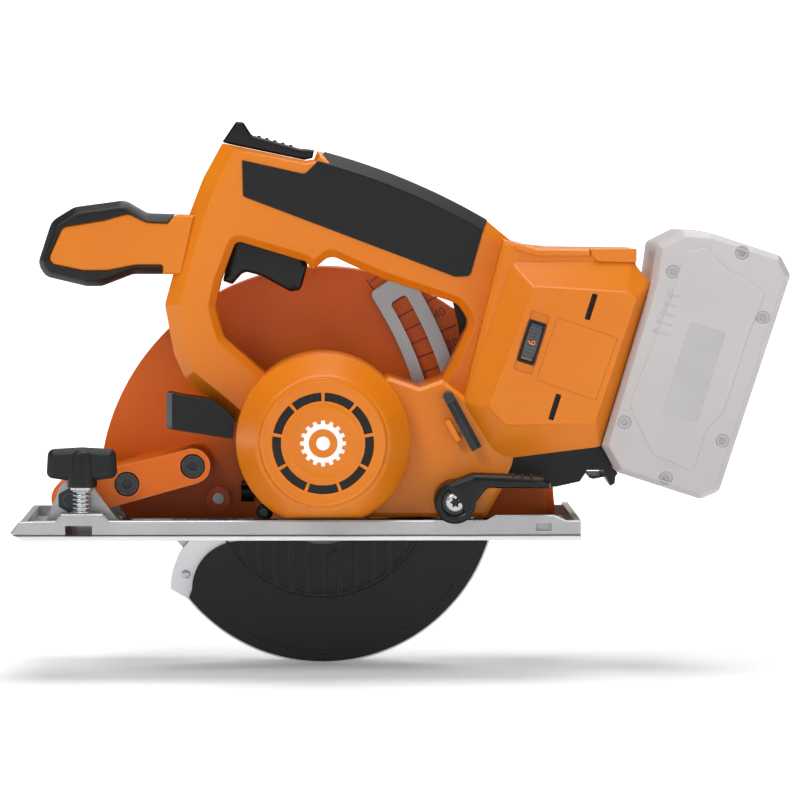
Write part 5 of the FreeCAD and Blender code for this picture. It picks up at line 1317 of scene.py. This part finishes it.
# ---------------------------------------------------------------------------------------- rest
CARRIED = {
    "base_plate": (CAST_ALU, 0.35), "front_bracket": (CAST_ALU, 0.7), "pivot_bolt": (BLACK_OXIDE, 0.3),
    "base_screws": (BRIGHT_STEEL, 0.3), "clamp_spring": (BRIGHT_STEEL, 0.0),
    "clamp_washer": (BRIGHT_STEEL, 0.2), "clamp_stud": (BRIGHT_STEEL, 0.3), "housing_screws": (BLACK_OXIDE, 0.3),
    "work_light": (POLYAMIDE, 0.7), "work_light_lens": (CLEAR_PC, 0.3), "switch_module": (POLYAMIDE, 0.4),
    "clamp_bolt": (BRIGHT_STEEL, 0.4), "upper_guard": (PAINTED, 1.2), "guard_cover": (PAINTED, 0.7),
    "cover_screws": (BLACK_OXIDE, 0.4), "front_arm": (PAINTED, 1.0), "arm_screws": (BLACK_OXIDE, 0.35),
    "stop_pin": (ZINC, 0.3), "guard_cheek": (GUARD_BLACK, 0.3), "lower_guard": (SHEET_ALU, 0.3),
    "guard_lever": (POLYAMIDE, 0.8), "blade": (BLADE_STEEL, 0.0), "spindle": (BRIGHT_STEEL, 0.3),
    "blade_flanges": (ZINC, 0.4), "blade_bolt": (BLACK_OXIDE, 0.5), "drive_gear": (BRIGHT_STEEL, 0.0),
    "motor_shaft": (BRIGHT_STEEL, 0.0), "rotor": (BLACK_OXIDE, 0.4), "stator": (COPPER, 0.4),
    "fan": (POLYAMIDE, 0.0), "bearings": (BRIGHT_STEEL, 0.3), "bearing_plate": (CAST_ALU, 0.3),
    "gear_housing": (SOCKET_GREY, 0.6), "spindle_lock": (POLYAMIDE, 0.6), "battery_foot": (POLYAMIDE, 0.3),
    "terminal_block": (POLYAMIDE, 0.3), "control_board": (BOARD, 0.3), "battery_cells": (SLEEVE, 0.5),
    "battery_latch": (PALE_PC, 1.0), "hex_key": (BLACK_OXIDE, 0.5),
}


@dataclass
class Studio:
    """Pale seamless ground, soft lights and the camera."""

    floor_z: float = -66.2

    def ground(self) -> None:
        """Pale floor that curves up into a low rim far off, brighter towards the rim."""
        mesh = bpy.data.meshes.new("ground")
        work = bmesh.new()
        flat, bend, top, spokes = 8.0, 0.7, 0.9, 64
        rows = [(flat * k / 6, 0.0) for k in range(1, 7)]
        rows += [(flat + bend * math.sin(math.radians(a)), bend * (1 - math.cos(math.radians(a)))) for a in range(6, 91, 6)]
        rows += [(flat + bend, top)]
        turns = [2 * math.pi * k / spokes for k in range(spokes)]
        rings = [[work.verts.new((r * math.cos(t), r * math.sin(t), self.floor_z * MM + z)) for t in turns] for r, z in rows]
        middle = work.verts.new((0, 0, self.floor_z * MM))
        for k in range(spokes):
            after = (k + 1) % spokes
            work.faces.new((middle, rings[0][k], rings[0][after]))
            for a, b in zip(rings, rings[1:]):
                work.faces.new((a[k], b[k], b[after], a[after])).smooth = True
        work.to_mesh(mesh)
        work.free()
        obj = bpy.data.objects.new("ground", mesh)
        bpy.context.scene.collection.objects.link(obj)
        mat = Finish("backdrop_paper", "FFFFFF", "FBFBFB", rough=0.9, grain_mm=1.0, grain_mm_deep=0.01,
                     patch_mm=300).make()
        mesh.materials.append(mat)
        tree = mat.node_tree
        shader = next(n for n in tree.nodes if n.type == "BSDF_PRINCIPLED")
        reach = add(tree, "ShaderNodeVectorMath", {0: add(tree, "ShaderNodeTexCoord").outputs["Object"]},
                    operation="LENGTH")
        wash = add(tree, "ShaderNodeMapRange", {"Value": reach.outputs["Value"]}, From_Min=0.5, From_Max=2.6,
                   To_Min=0.12, To_Max=1.0)
        tree.links.new(wash.outputs["Result"], shader.inputs["Emission Strength"])
        shader.inputs["Emission Color"].default_value = linear("FFFFFF")

    def lamp(self, name: str, place: Point, aim: Point, size: float, power: float) -> None:
        """Square soft light."""
        data = bpy.data.lights.new(name, "AREA")
        data.shape = "SQUARE"
        data.size = size
        data.energy = power
        obj = bpy.data.objects.new(name, data)
        obj.location = Vector(place)
        obj.rotation_euler = (Vector(aim) - Vector(place)).to_track_quat("-Z", "Y").to_euler()
        bpy.context.scene.collection.objects.link(obj)

    def camera(self) -> None:
        """Long lens on the motor's side, a little above the middle of the saw."""
        data = bpy.data.cameras.new("camera")
        data.lens = 209.3
        data.sensor_width = 36.0
        data.clip_start, data.clip_end = 0.05, 60.0
        obj = bpy.data.objects.new("camera", data)
        obj.location = Vector((-0.0019, -2.2, 0.176))
        obj.rotation_euler = (math.radians(90 - 2.95), 0, math.radians(-1.0))
        bpy.context.scene.collection.objects.link(obj)
        bpy.context.scene.camera = obj

    def build(self) -> None:
        """Sets up the whole studio."""
        self.ground()
        self.camera()
        self.lamp("key", (-1.3, -1.9, 2.0), (0, 0, 0.05), 1.0, 33)
        self.lamp("fill", (2.0, -2.2, 0.9), (0, 0, 0.06), 1.4, 10)
        self.lamp("top", (0.1, -0.2, 2.4), (0, 0, 0), 1.6, 42)
        self.lamp("rim", (0.4, 1.6, 1.6), (0, 0, 0.1), 1.2, 16)
        world = bpy.data.worlds.new("studio_world")
        world.use_nodes = True
        back = world.node_tree.nodes["Background"]
        back.inputs["Color"].default_value = (1, 1, 1, 1)
        back.inputs["Strength"].default_value = 0.11
        bpy.context.scene.world = world
        bpy.context.scene.view_settings.view_transform = "Standard"


def main() -> None:
    """Builds the saw sub-assembly by sub-assembly."""
    logging.basicConfig(level=logging.INFO, format="%(message)s")
    for part in (Housing(), Grips(), MotorCap(), FrontHandle(), Controls(), Markings(), Trim(), Knob(), Battery(), Studio()):
        part.build()
    for node, (finish, bevel) in CARRIED.items():
        carried(node, finish, bevel)


if __name__ == "__main__":
    main()
